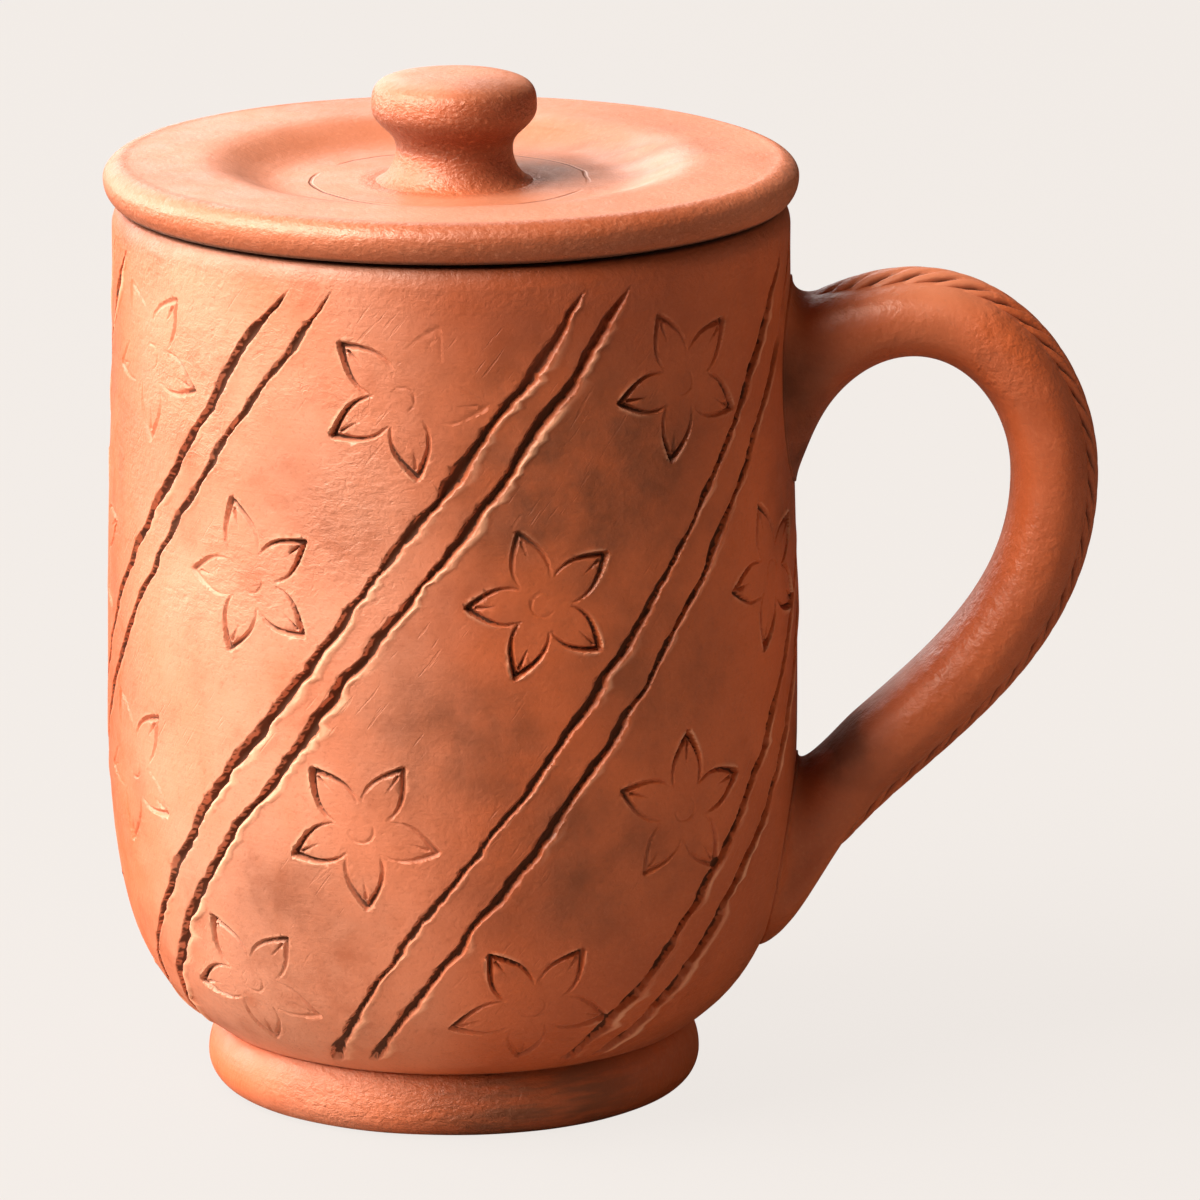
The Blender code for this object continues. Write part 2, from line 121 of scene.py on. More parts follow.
# Lid
LID_SEAT = RIM_HEIGHT + SEAT_GAP
LID_SWELL_HEIGHT = LID_SEAT + 0.0028
LID_EDGE_ROUND = 0.0025
LID_SEAT_INSET = 0.0013
LID_SEAT_ANGLE = math.radians(40)
DISH_RADIUS = 0.0195
DISH_STEP = 0.0125
SCRIBED_RADIUS = 0.0170
BOSS_ROUND = 0.0008
FLANGE_WALL = 0.0040
FLANGE_TAPER = 0.0008

# How far the turned pieces waver from a true round, and how many waves fit in a metre
TURNED_WAVER = 0.0002
FLANGE_WAVER = 0.0001
WAVER_SCALE = 60.0
# Steps round the turned pieces, and the gap under which a seam's points are one
FOOT_STEPS = 192
LID_STEPS = 240
FLANGE_STEPS = 192
KNOB_STEPS = 128
SEAM_GAP = 0.000001

# Knob, with rises measured from the dish
KNOB_RADIUS = 0.0102
KNOB_SWELL_RISE = 0.0102
KNOB_NECK_RADIUS = 0.0072
KNOB_NECK_RISE = 0.0041
KNOB_CROWN_PULL = 0.0092
KNOB_SETTLE = 0.0009
KNOB_ASIDE = 0.0004
KNOB_BED = 0.0002
NECK_LEAN = 0.4
NECK_FALL = 0.5
HEAD_FULLNESS = 0.85
BASE_FLARE = 0.6

# Handle strap: drops from the rim, rises from the table, outs from the wall
STRAP_THICKNESS = 0.0096
STRAP_WIDTH = 0.0150
STRAP_SQUARENESS = 2.4
ROOT_THICKNESS = 0.0218
ROOT_WIDTH = 0.0200
ROOT_BED = 0.0053
ROOT_DROP = 0.0248
ROOT_ANGLE = math.radians(31)
ROOT_PULL = 0.0051
CREST_DROP = 0.0146
CREST_OUT = 0.0149
CREST_PULL = 0.0087
BOW_DROP = 0.0347
BOW_OUT = 0.0313
BOW_PULL = 0.0164
TAIL_RISE = 0.0420
TAIL_OUT = 0.0092
TAIL_ANGLE = math.radians(-138)
TAIL_UPPER_PULL = 0.0142
TAIL_LOWER_PULL = 0.0244
TOE_THICKNESS = 0.0025
TOE_WIDTH = 0.0170
TOE_BED = 0.0016
TOE_RISE = 0.0185
TOE_ANGLE = math.radians(-137)
TOE_PULL = 0.0075
ROOT_MIDDLE = 0.0880
ROOT_FILLET = 0.0032
ROOT_FILLET_BESIDE = 0.65
ROOT_FILLET_ABOVE = 0.35
ROOT_LIFT = 0.0012
ROOT_LIFT_REACH = 0.0110
ROOT_LIFT_FULL = 0.0010
ROOT_RUN_IN = 0.0060
TOE_MIDDLE = 0.0293
TOE_HALF_HEIGHT = 0.0123
TOE_HALF_WIDTH = 0.0096
TOE_FILLET = 0.0024
TOE_SIDE_FILLET = 0.0026
TOE_ROLL = 0.0036
TOE_ROLL_START = 0.15
TOE_ROLL_FULL = 0.95
TOE_ROLL_INWARD = 0.95
TOE_ROLL_DOWN = 0.3
TOE_LEAVE = 0.35
TOE_HOLLOW = 0.0013
EDGE_BED = 0.0006
ROOT_CAP_BED = 0.0012
TOE_CAP_BED = 0.0032
STRAP_STEPS = 80
STRAP_SIDES = 64
STRAP_RINGS = 240
RING_CROWDING = 0.9
SLOPE_SPAN = 0.001

# Twisted rope on the strap's back
ROPE_RADIUS = 0.0036
ROPE_PROUD = 0.00125
ROPE_LAY = 0.0420
ROPE_STRANDS = 12
NOTCH_DEPTH = 0.0011
NOTCH_SHARPNESS = 4.0
ROPE_TOP_GAP = -0.0030
ROPE_TAIL_GAP = 0.0036
ROPE_END = 0.0080
ROPE_STEP = 0.0003
ROPE_UNEVEN = 0.5
ROPE_UNEVEN_SCALE = 140.0
ROPE_RUBBED = 0.90
ROPE_RUBBED_FROM = 0.84
ROPE_SIDES = 120

# How far a quarter of an ellipse's handles reach, as a share of its half axis
QUARTER = 0.5523

# Carved double bands, from under the rim down to the foot
BANDS = 7
BAND_ANGLE = math.radians(24.6)
BAND_LEAN = 0.77
BAND_GAP = 0.0065
BAND_TOP = 0.1090
BAND_FOOT = 0.0096
BAND_SCATTER = 0.0005
BAND_TOP_SCATTER = 0.0006
BAND_FOOT_SCATTER = 0.0010
GROOVE_HALF_WIDTH = 0.00080
GROOVE_DEPTH = 0.00115
GROOVE_BURR = 0.00030
GROOVE_SWAY = 0.00035
GROOVE_SHAKE = 0.00042
GROOVE_TAPER = 0.0060
GROOVE_RISE = 0.0035
GROOVE_STOP = 0.0012
# The pace of the hand's swings along a groove: its line, its fullness, its edges and its burr
SWAY_PACE = 0.0100
SHAKE_PACE = 0.0028
SWELL_PACE = 0.0130
SKIP_PACE = 0.0035
CHIP_PACE = 0.0021
GRIT_PACE = 0.0008
BURR_PACE = 0.0040
# How much painted highlight the burr takes for each metre of its height
BURR_HIGHLIGHT = 4500
# Where the strap's two ends keep the wall plain: height, half width and half height
PLAIN_PATCHES = ((0.0880, 0.0125, 0.0165), (0.0290, 0.0115, 0.0155))

# Stamped flowers in sight: turn from the front and tilt in degrees, height, strength of the press, the
# side the stamp leaned to, clockwise from the top, and how far it leaned
FLOWERS = (
    (-7.4, 25, 0.0956, 0.78, 235, 0.80),
    (42.6, -26, 0.0955, 0.95, 260, 0.25),
    (-60.0, -36, 0.0966, 0.50, 100, 0.45),
    (15.7, -16, 0.0703, 1.15, 170, 0.20),
    (67.7, -19, 0.0685, 1.30, 120, 0.25),
    (-34.1, -16, 0.0719, 1.05, 120, 0.40),
    (-14.3, -39, 0.0423, 1.00, 290, 0.35),
    (42.1, 0, 0.0426, 0.95, 30, 0.40),
    (-65.2, -28, 0.0445, 0.50, 90, 0.45),
    (15.2, -36, 0.0190, 0.78, 340, 0.35),
    (-37.6, -31, 0.0206, 0.85, 300, 0.35),
)
# The rows that the flowers out of sight keep to: height, and the turn of the first one from the front
FLOWER_ROWS = ((0.0959, -8.5), (0.0702, 15.7), (0.0434, -12.5), (0.0200, 14.1))
HIDDEN_TURNS = (105, 285)
FLOWER_REACH_ASIDE = 0.016
FLOWER_REACH_UP = 0.013
PETALS = 5
PETAL_SKEW = 0.06
PETAL_TIP = 0.0098
PETAL_LENGTH = 0.0069
PETAL_HALF_WIDTH = 0.00236
PETAL_SWEEP = 2.15
PETAL_CUT = 0.00042
PETAL_SLOPE = 0.00052
PETAL_BURR = 0.00016
PETAL_DEPTH = 0.00095
VEIN_INSET = 0.0012
VEIN_LENGTH = 0.0030
VEIN_CUT = 0.00026
VEIN_DEPTH = 0.00060
PISTIL_RADIUS = 0.00155
PISTIL_CUT = 0.00028
PISTIL_DEPTH = 0.00017

# Smoke clouds in sight, which on the right also paint shade: turn in degrees, height, reach and strength
SMOKE_AND_SHADE_CLOUDS = (
    (-20, 0.0840, 0.0095, 0.40),
    (19, 0.1000, 0.0140, 0.80),
    (24, 0.0850, 0.0150, 1.10),
    (13, 0.0660, 0.0090, 0.35),
    (36, 0.0600, 0.0115, 0.70),
    (-29, 0.0310, 0.0100, 0.55),
    (3, 0.0545, 0.0120, 0.75),
    (22, 0.0380, 0.0115, 0.75),
    (29, 0.0450, 0.0080, 0.35),
    (24, 0.0290, 0.0080, 0.20),
)
HIDDEN_CLOUDS = 9
CLOUD_STRETCH = 1.25

# Middles of the marks and of the painted shade and highlight on the clay, from the foot of the mug's axis
ROUGH_PATCH = (-0.0240, -0.0345, 0.0850)
RIM_SHADE_MIDDLE = (0.0150, -0.0395, RIM_HEIGHT)
FOOT_SOOT = (0.0110, -0.0275, 0.0050)
FOOT_CREASES = (-0.0060, -0.0290, 0.0045)
CREST_HIGHLIGHT = (RIM_RADIUS + CREST_OUT + 0.002, 0, RIM_HEIGHT - CREST_DROP + STRAP_THICKNESS / 2)
DISH_DARK_PATCH = (0.0205, 0.0080, DISH_HEIGHT)
KNOB_SHADE = (0.0065, -0.0065, KNOB_TOP - 0.0070)
# Soot and painted shade on the strap where it meets the wall: its reach from the wall and the heights where
# it starts and is full at the root, and where and how it lies by the toe
ROOT_SOOT_AND_SHADE_REACH = 0.0080
ROOT_SOOT_AND_SHADE_TOP = (0.100, 0.090)
ROOT_SOOT_AND_SHADE_BOTTOM = (0.060, 0.070)
TOE_SOOT_AND_SHADE = 1.3
TOE_SOOT_AND_SHADE_HEIGHT = 0.0440
TOE_SOOT_AND_SHADE_SPREAD = 0.0070
TOE_SOOT_AND_SHADE_OUT = 0.0025
TOE_SOOT_AND_SHADE_REACH = 0.0085
# The side of the body that is painted paler, as light from the key lamp, in degrees from the front
LIT_SIDE_TURN = -33.0

# Lamps: turn from the front towards -X and rise in degrees, way off and width in metres, watts
LAMPS = {
    "key": (61, 44, 1.6, 1.3, 78.0),
    "side": (114, 10, 1.4, 1.0, 23.0),
    "back": (158, 24, 1.6, 1.1, 13.0),
    "fill": (-98, 4, 1.6, 1.0, 4.6),
}
LAMPS_AIM = (AXIS_X, 0, 0.06)

# Camera, fitted to the photograph
CAMERA_PLACE = (AXIS_X + 0.0183, -1.300, 0.3741)
CAMERA_TILT = math.radians(13.54)
CAMERA_LENS = 323.19
CAMERA_SENSOR = 36

FLOOR_HALF_WIDTH = 4

# The carved skin: its finest grid, its coarsest square in cells, how far it may stray from the carving,
# how many triangles it keeps, and the side from which a triangle counts as plain wall
COLUMNS = 1920
UNDERSIDE_ROWS = 16
WALL_ROWS = 768
LIP_ROWS = 32
INSIDE_ROWS = 128
COARSE = 16
CARVING_TOLERANCE = 0.000015
BODY_TRIANGLES = 196000
LONG_SIDE = 0.0006


def bezier(start, start_pull, end_pull, end, steps):
    """Points of one curve that leaves start and reaches end along the two pulls."""
    a, d = np.array(start, float), np.array(end, float)
    b, c = a + start_pull, d + end_pull
    t = np.linspace(0, 1, steps + 1)[:, None]
    return a * (1 - t) ** 3 + 3 * b * t * (1 - t) ** 2 + 3 * c * t**2 * (1 - t) + d * t**3


def heading(angle, length):
    return np.array((math.cos(angle), math.sin(angle))) * length


def arc(centre, radius_r, radius_z, start, end, steps):
    """Points of an elliptic arc, with its angles in degrees from the outward direction."""
    angles = np.radians(np.linspace(start, end, steps + 1))
    return np.array(centre) + np.stack((radius_r * np.cos(angles), radius_z * np.sin(angles)), 1)


def joined(*runs):
    """The runs as one list of points, each run starting where the last one ended."""
    return np.concatenate([np.array(runs[0], float)] + [np.array(run, float)[1:] for run in runs[1:]])


def lengths(points):
    """How far along the line each point lies."""
    steps = np.linalg.norm(np.diff(points, axis=0), axis=1)
    return np.concatenate(([0], np.cumsum(steps)))


def evened(points, count):
    """The line with its points an even way apart."""
    along = lengths(points)
    at = np.linspace(0, along[-1], count + 1)
    return np.stack([np.interp(at, along, points[:, k]) for k in range(points.shape[1])], 1)


def smooth(low, high, value):
    """0 at low, 1 at high and a smooth slope between them. Low may be the greater one."""
    share = np.clip((value - low) / (high - low), 0, 1)
    return share * share * (3 - 2 * share)


def unsteady(rng, along, pace, kinked=False):
    """The swings of a hand along a line, from -1 to 1, about one for each pace."""
    knots = np.arange(along.min() - pace, along.max() + 2 * pace, pace)
    swings = rng.uniform(-1, 1, len(knots))
    place = (along - knots[0]) / pace
    index = place.astype(int)
    share = place - index
    if not kinked:
        share = share * share * (3 - 2 * share)
    return swings[index] + (swings[index + 1] - swings[index]) * share


def turn_to(angle):
    """An angle brought between half a turn back and half a turn on."""
    return (angle + math.pi) % (2 * math.pi) - math.pi


class Wire:
    """A value in a node tree. Python's operators on it add Math nodes."""

    def __init__(self, tree, socket=None):
        self.tree = tree
        self.socket = socket

    def add(self, kind, settings=None, inputs=None, output=0):
        """Adds a node, with its settings first and then the values or links of its sockets."""
        node = self.tree.nodes.new(kind)
        for name, value in (settings or {}).items():
            setattr(node, name, value)
        for name, value in (inputs or {}).items():
            if isinstance(value, Wire):
                self.tree.links.new(value.socket, node.inputs[name])
            else:
                node.inputs[name].default_value = value
        return Wire(self.tree, node.outputs[output] if node.outputs else None)

    def out(self, name):
        """Another output of the same node."""
        return Wire(self.tree, self.socket.node.outputs[name])

    def math(self, operation, *others):
        return self.add("ShaderNodeMath", {"operation": operation}, dict(enumerate((self, *others))))

    def after(self, other, operation):
        """The operation with the other value first."""
        return self.add("ShaderNodeMath", {"operation": operation}, {0: other, 1: self})

    def __add__(self, other):
        return self.math("ADD", other)

    def __sub__(self, other):
        return self.math("SUBTRACT", other)

    def __rsub__(self, other):
        return self.after(other, "SUBTRACT")

    def __mul__(self, other):
        return self.math("MULTIPLY", other)

    def __truediv__(self, other):
        return self.math("DIVIDE", other)

    def __rtruediv__(self, other):
        return self.after(other, "DIVIDE")

    def __pow__(self, other):
        return self.math("POWER", other)

    def __rpow__(self, other):
        return self.after(other, "POWER")

    __radd__ = __add__
    __rmul__ = __mul__

    def between(self, low, high):
        """0 at low, 1 at high and a smooth slope between them. Low may be the greater one."""
        settings = {"interpolation_type": "SMOOTHSTEP"}
        return self.add("ShaderNodeMapRange", settings, {"Value": self, "From Min": low, "From Max": high})

    def vector(self, operation, *others):
        return self.add("ShaderNodeVectorMath", {"operation": operation}, dict(enumerate((self, *others))))

    def scaled(self, factor):
        """This vector made longer or shorter."""
        return self.add("ShaderNodeVectorMath", {"operation": "SCALE"}, {0: self, "Scale": factor})

    def far_from(self, point):
        """How far this place lies from a point."""
        return self.vector("DISTANCE", point).out("Value")

    def parts(self):
        """This vector's x, y and z."""
        split = self.add("ShaderNodeSeparateXYZ", {}, {"Vector": self})
        return split, split.out("Y"), split.out("Z")

    def noise(self, scale, detail=2.0, roughness=0.5, distortion=0.0):
        """Noise read at this place, with about one lump for each metre over scale."""
        values = {"Vector": self, "Scale": scale, "Detail": detail, "Roughness": roughness}
        return self.add("ShaderNodeTexNoise", {}, {**values, "Distortion": distortion})

    def mixed(self, other, share):
        """This colour with a share of another one in it."""
        other = other if isinstance(other, Wire) else (*other, 1)
        return self.add("ShaderNodeMix", {"data_type": "RGBA"}, {0: share, 6: self, 7: other}, output=2)


def new_tree(name, inputs):
    """A Geometry Nodes tree with its named inputs, as wires."""
    tree = bpy.data.node_groups.new(name, "GeometryNodeTree")
    for label, kind in inputs:
        tree.interface.new_socket(label, in_out="INPUT", socket_type="NodeSocket" + kind)
    tree.interface.new_socket("Piece", in_out="OUTPUT", socket_type="NodeSocketGeometry")
    given = tree.nodes.new("NodeGroupInput")
    return [Wire(tree, given.outputs[label]) for label, kind in inputs]


def close_tree(shape, clay):
    """Ends a tree with its mesh shaded smooth, realized and given its clay."""
    shape = shape.add("GeometryNodeSetShadeSmooth", {}, {"Geometry": shape})
    shape = shape.add("GeometryNodeRealizeInstances", {}, {"Geometry": shape})
    shape = shape.add("GeometryNodeSetMaterial", {}, {"Geometry": shape, "Material": clay})
    shape.add("NodeGroupOutput", {}, {"Piece": shape})
    return shape.tree


def grid_shares(counter, columns, rows):
    """A grid of points, with the shares of the way across and up at each of them."""
    counts = {"Vertices X": columns, "Vertices Y": rows, "Size X": 1.0, "Size Y": 1.0}
    grid = counter.add("GeometryNodeMeshGrid", {}, counts)
    place = counter.add("GeometryNodeInputPosition")
    x, y, _ = place.parts()
    return grid, x + 0.5, y + 0.5


def point_of(line, index):
    """Where a line's point of that index lies."""
    settings = {"data_type": "FLOAT_VECTOR", "domain": "POINT", "clamp": True}
    place = line.add("GeometryNodeInputPosition")
    return line.add("GeometryNodeSampleIndex", settings, {"Geometry": line, "Value": place, "Index": index})


def turning_tree():
    """Turns a profile about the mug's axis, as a wheel does, with the waver of a hand."""
    inputs = (("Profile", "Geometry"), ("Points", "Int"), ("Steps", "Int"), ("Axis", "Vector"))
    inputs += (("Waver", "Float"), ("Waver Scale", "Float"), ("Clay", "Material"))
    profile, points, steps, axis, waver, waver_scale, clay = new_tree("turned_on_the_wheel", inputs)
    grid, across, up = grid_shares(profile, steps + 1, points)
    radius, _, height = point_of(profile, (up * (points - 1)).math("ROUND")).parts()
    turn = across * (2 * math.pi)
    x, y = radius * turn.math("COSINE"), radius * turn.math("SINE")
    place = turn.add("ShaderNodeCombineXYZ", {}, {"X": x, "Y": y, "Z": height})
    moved = {"Geometry": grid, "Position": place.vector("ADD", axis)}
    shape = grid.add("GeometryNodeSetPosition", {}, moved)
    shape = shape.add("GeometryNodeMergeByDistance", {}, {"Geometry": shape, "Distance": SEAM_GAP})
    swing = (shape.add("GeometryNodeInputPosition").noise(waver_scale, 1.0) - 0.5) * waver
    offset = shape.add("GeometryNodeInputNormal").scaled(swing)
    shape = shape.add("GeometryNodeSetPosition", {}, {"Geometry": shape, "Offset": offset})
    return close_tree(shape, clay)


def rope_tree():
    """Lays strands about a route, pressed together along the back and rounded off at both ends."""
    inputs = (("Route", "Geometry"), ("Points", "Int"), ("Steps", "Int"), ("Length", "Float"))
    inputs += (("Lay", "Float"), ("Strands", "Int"), ("Radius", "Float"), ("Notch Depth", "Float"))
    inputs += (("Notch Sharpness", "Float"), ("End", "Float"), ("Clay", "Material"))
    wires = new_tree("twisted_rope", inputs)
    route, points, steps, length, lay, strands, rope_radius, notch_depth, sharpness, end, clay = wires
    grid, around, along = grid_shares(route, steps + 1, points)
    index = (along * (points - 1)).math("ROUND")
    ahead, behind = point_of(route, index + 1), point_of(route, index - 1)
    way = ahead.vector("SUBTRACT", behind)
    outward = way.vector("CROSS_PRODUCT", (0, 1, 0)).vector("NORMALIZE")
    turn = around * (2 * math.pi)
    twist = (around - along * length / lay) * strands
    uneven = (along * length).noise(ROPE_UNEVEN_SCALE, 2.0) - 0.5
    twist = twist + uneven * ROPE_UNEVEN
    off = ((twist.math("FRACT") - 0.5) * 2).math("ABSOLUTE")
    back = turn.math("COSINE")
    notch = off**sharpness * (1 - back.between(ROPE_RUBBED_FROM, 1.0) * ROPE_RUBBED)
    from_end = along.math("MINIMUM", 1 - along) * length / end
    nose = 1 - from_end.math("MINIMUM", 1)
    radius = (rope_radius - notch_depth * notch) * (1 - nose * nose).math("SQRT")
    lift = outward.scaled(radius * back)
    aside = turn.add("ShaderNodeCombineXYZ", {}, {"Y": radius * turn.math("SINE")})
    place = point_of(route, index).vector("ADD", lift).vector("ADD", aside)
    # The notches are stored as carved, which the handle's clay paints as shade
    settings = {"data_type": "FLOAT", "domain": "POINT"}
    stored = {"Geometry": grid, "Name": "carved", "Value": notch}
    shape = grid.add("GeometryNodeStoreNamedAttribute", settings, stored)
    shape = shape.add("GeometryNodeSetPosition", {}, {"Geometry": shape, "Position": place})
    shape = shape.add("GeometryNodeMergeByDistance", {}, {"Geometry": shape, "Distance": SEAM_GAP})
    return close_tree(shape, clay)


def shown(name, data):
    """A new object in the scene."""
    thing = bpy.data.objects.new(name, data)
    bpy.context.scene.collection.objects.link(thing)
    return thing


def face_outwards(mesh):
    shell = bmesh.new()
    shell.from_mesh(mesh)
    bmesh.ops.recalc_face_normals(shell, faces=shell.faces)
    shell.to_mesh(mesh)
    shell.free()


def applied(shape, modifier):
    """The shape with what its modifier makes of it as its own plain mesh."""
    ready = shape.evaluated_get(bpy.context.evaluated_depsgraph_get())
    mesh = bpy.data.meshes.new_from_object(ready)
    shape.modifiers.remove(modifier)
    shape.data = mesh
    face_outwards(mesh)
    return shape


def baked(name, line, tree, values):
    """An object with the plain mesh that a tree makes of a line."""
    mesh = bpy.data.meshes.new(name)
    mesh.from_pydata(line, [(i, i + 1) for i in range(len(line) - 1)], [])
    shape = shown(name, mesh)
    modifier = shape.modifiers.new(tree.name, "NODES")
    modifier.node_group = tree
    for item in tree.interface.items_tree:
        if item.in_out == "INPUT" and item.name in values:
            modifier[item.identifier] = values[item.name]
    return applied(shape, modifier)


def modelled(name, points, faces, clay, values):
    """An object from points and faces, with named values for its points."""
    mesh = bpy.data.meshes.new(name)
    mesh.from_pydata(points.tolist(), [], faces)
    for label, numbers in values.items():
        stored = mesh.attributes.new(label, "FLOAT", "POINT")
        stored.data.foreach_set("value", np.array(numbers, np.float32))
    mesh.shade_smooth()
    mesh.materials.append(clay)
    face_outwards(mesh)
    return shown(name, mesh)


def thinned(shape, count):
    """Melts away the triangles that a shape needs least, until the count is left."""
    modifier = shape.modifiers.new("thinned", "DECIMATE")
    modifier.ratio = count / len(shape.data.polygons)
    return applied(shape, modifier)


def read_all(items, label, width, kind):
    """One property of all of a mesh's points, sides or corners, in rows of that width."""
    found = np.empty(len(items) * width, kind)
    items.foreach_get(label, found)
    return found.reshape(-1, width)


def crisp_edges(shape):
    """Keeps dirt and shade in the cuts, where large plain triangles meet small steep ones."""
    mesh = shape.data
    places = read_all(mesh.vertices, "co", 3, np.float32)
    one, other = read_all(mesh.edges, "vertices", 2, np.int32).T
    far = np.linalg.norm(places[one] - places[other], axis=1) > LONG_SIDE
    stored = mesh.attributes["carved"].data
    dirt_and_shade = read_all(stored, "value", 1, np.float32).ravel()
    clean = dirt_and_shade.copy()
    np.minimum.at(clean, one[far], dirt_and_shade[other[far]])
    np.minimum.at(clean, other[far], dirt_and_shade[one[far]])
    stored.foreach_set("value", clean)
    corners = read_all(mesh.loops, "vertex_index", 1, np.int32).reshape(-1, 3)
    first, second, third = (places[corners[:, k]].astype(float) for k in range(3))
    facing = np.cross(second - first, third - first)
    facing *= np.linalg.norm(facing, axis=1)[:, None]
    normals = np.zeros((len(places), 3))
    for k in range(3):
        np.add.at(normals, corners[:, k], facing)
    normals /= np.maximum(np.linalg.norm(normals, axis=1), 1e-30)[:, None]
    mesh.normals_split_custom_set_from_vertices(normals.tolist())
    return shape


def outer_wall(steps):
    """The outside of the body from the foot joint up to the rim's edge."""
    belly = (BELLY_RADIUS, BELLY_HEIGHT)
    rim = (RIM_RADIUS, RIM_HEIGHT - RIM_SHOULDER)
    tuck = heading(TUCK_ANGLE, TUCK_PULL)
    lower = bezier((BASE_RADIUS, BASE_HEIGHT), tuck, (0, -BELLY_LOWER_PULL), belly, steps)
    return joined(lower, bezier(belly, (0, BELLY_UPPER_PULL), (0, -RIM_PULL), rim, steps))


WALL_LINE = evened(outer_wall(400), WALL_ROWS)


def wall_at(height):
    return np.interp(height, WALL_LINE[:, 1], WALL_LINE[:, 0])


def inner_wall(steps):
    """The inside of the body from the rim's edge down to the middle of the floor."""
    belly = (BELLY_RADIUS - WALL, BELLY_HEIGHT)
    rim = (RIM_RADIUS - WALL, RIM_HEIGHT - RIM_ROUND)
    upper = bezier(rim, (0, -RIM_PULL), (0, BELLY_UPPER_PULL), belly, steps)
    edge = (FLOOR_RADIUS, FLOOR_HEIGHT)
    corner = bezier(belly, (0, -BELLY_LOWER_PULL), (FLOOR_PULL, 0), edge, steps)
    return joined(upper, corner, [edge, (0, FLOOR_HEIGHT)])


def body_rows():
    """The body's whole profile, from the middle of its underside round to the middle of its floor."""
    lip_height = RIM_HEIGHT - RIM_ROUND
    lip = joined(
        arc((RIM_RADIUS - RIM_ROUND, RIM_HEIGHT - RIM_SHOULDER), RIM_ROUND, RIM_SHOULDER, 0, 90, 40),
        [(RIM_RADIUS - RIM_ROUND, RIM_HEIGHT), (RIM_RADIUS - WALL + RIM_ROUND, RIM_HEIGHT)],
        arc((RIM_RADIUS - WALL + RIM_ROUND, lip_height), RIM_ROUND, RIM_ROUND, 90, 180, 40),
    )
    underside = np.array([(0, BASE_HEIGHT), (BASE_RADIUS, BASE_HEIGHT)])
    return joined(
        evened(underside, UNDERSIDE_ROWS),
        WALL_LINE,
        evened(lip, LIP_ROWS),
        evened(inner_wall(200), INSIDE_ROWS),
    )


def profile_normals(line):
    """The outward directions along a profile."""
    way = np.gradient(line, axis=0)
    way /= np.linalg.norm(way, axis=1)[:, None]
    return np.stack((way[:, 1], -way[:, 0]), 1)


def hand_lumps(angles, heights, rng):
    """The slow unevenness of a wall shaped by hand, as a share from -1 to 1."""
    lumps = np.zeros((len(angles), len(heights)))
    for _ in range(HAND_WAVES):
        waves = rng.integers(1, 8)
        pitch = rng.uniform(*HAND_PITCHES)
        phase = rng.uniform(0, 2 * math.pi)
        lumps += np.cos(waves * angles[:, None] + 2 * math.pi * heights[None, :] / pitch + phase)
    return lumps / HAND_WAVES


def cut_groove(depth, dirt_and_shade, angles, radii, heights, top_angle, size, rng):
    """Cuts one groove with ragged edges, leaning along the wall, and lifts a burr beside it."""
    lean = math.atan(BAND_LEAN)
    wander = GROOVE_SWAY * unsteady(rng, heights, SWAY_PACE)
    wander = wander + GROOVE_SHAKE * unsteady(rng, heights, SHAKE_PACE, True)
    top = BAND_TOP + BAND_TOP_SCATTER * rng.uniform(-1, 1)
    foot = BAND_FOOT + BAND_FOOT_SCATTER * rng.uniform(-1, 1)
    centre = top_angle + (BAND_LEAN * (heights - BAND_TOP) + wander) / BELLY_RADIUS
    aside = turn_to(angles[:, None] - centre[None, :]) * radii[None, :] * math.cos(lean)
    fullness = 0.86 + 0.26 * unsteady(rng, heights, SWELL_PACE)
    fullness = fullness + 0.12 * unsteady(rng, heights, SKIP_PACE, True)
    taper = 0.25 + 0.75 * smooth(top, top - GROOVE_TAPER, heights)
    ends = smooth(top, top - GROOVE_RISE, heights) * smooth(foot, foot + GROOVE_STOP, heights)
    edges = []
    for _ in range(2):
        ragged = 0.36 * unsteady(rng, heights, CHIP_PACE, True)
        ragged = ragged + 0.26 * unsteady(rng, heights, GRIT_PACE, True)
        edges.append(GROOVE_HALF_WIDTH * size * taper * np.maximum(fullness + ragged, 0.25))
    reach = np.where(aside < 0, -aside / edges[0][None, :], aside / edges[1][None, :])
    slope = np.where(aside < 0, 2.0, 3.2)
    cut = (GROOVE_DEPTH * size * ends * fullness)[None, :] * np.clip(1 - reach**slope, 0, 1)
    burr_height = GROOVE_BURR * size**2 * ends * (0.6 + 0.4 * unsteady(rng, heights, BURR_PACE))
    side = np.where(aside < 0, 0.25, 1.0)
    burr = burr_height[None, :] * side * np.exp(-(((reach - 1.70) / 0.70) ** 2))
    # Painted shade with some dirt: full on the left wall, which faces away from the key lamp, fading out up
    # the lit right wall
    left_dirt_and_shade = (0.62 + 0.38 * smooth(0.70, 0.10, reach)) * smooth(1.06, 0.92, reach)
    soiled_and_shaded = np.where(aside < 0, left_dirt_and_shade, smooth(0.92, 0.62, reach))
    np.maximum(dirt_and_shade, ends[None, :] * soiled_and_shaded, out=dirt_and_shade)
    depth[:] = np.where(cut > 0, np.maximum(depth, cut), np.where(depth > 0, depth, depth - burr))


def stroke(depth, aside, beyond, half_width, deepest):
    """Presses a stroke: aside is the way off its line, beyond the way past its end."""
    reach = np.clip(np.hypot(aside, beyond) / half_width, 0, 1)
    cut = deepest * (1 - reach**1.8)
    depth[:] = np.where(cut > 0, np.maximum(depth, cut), depth)


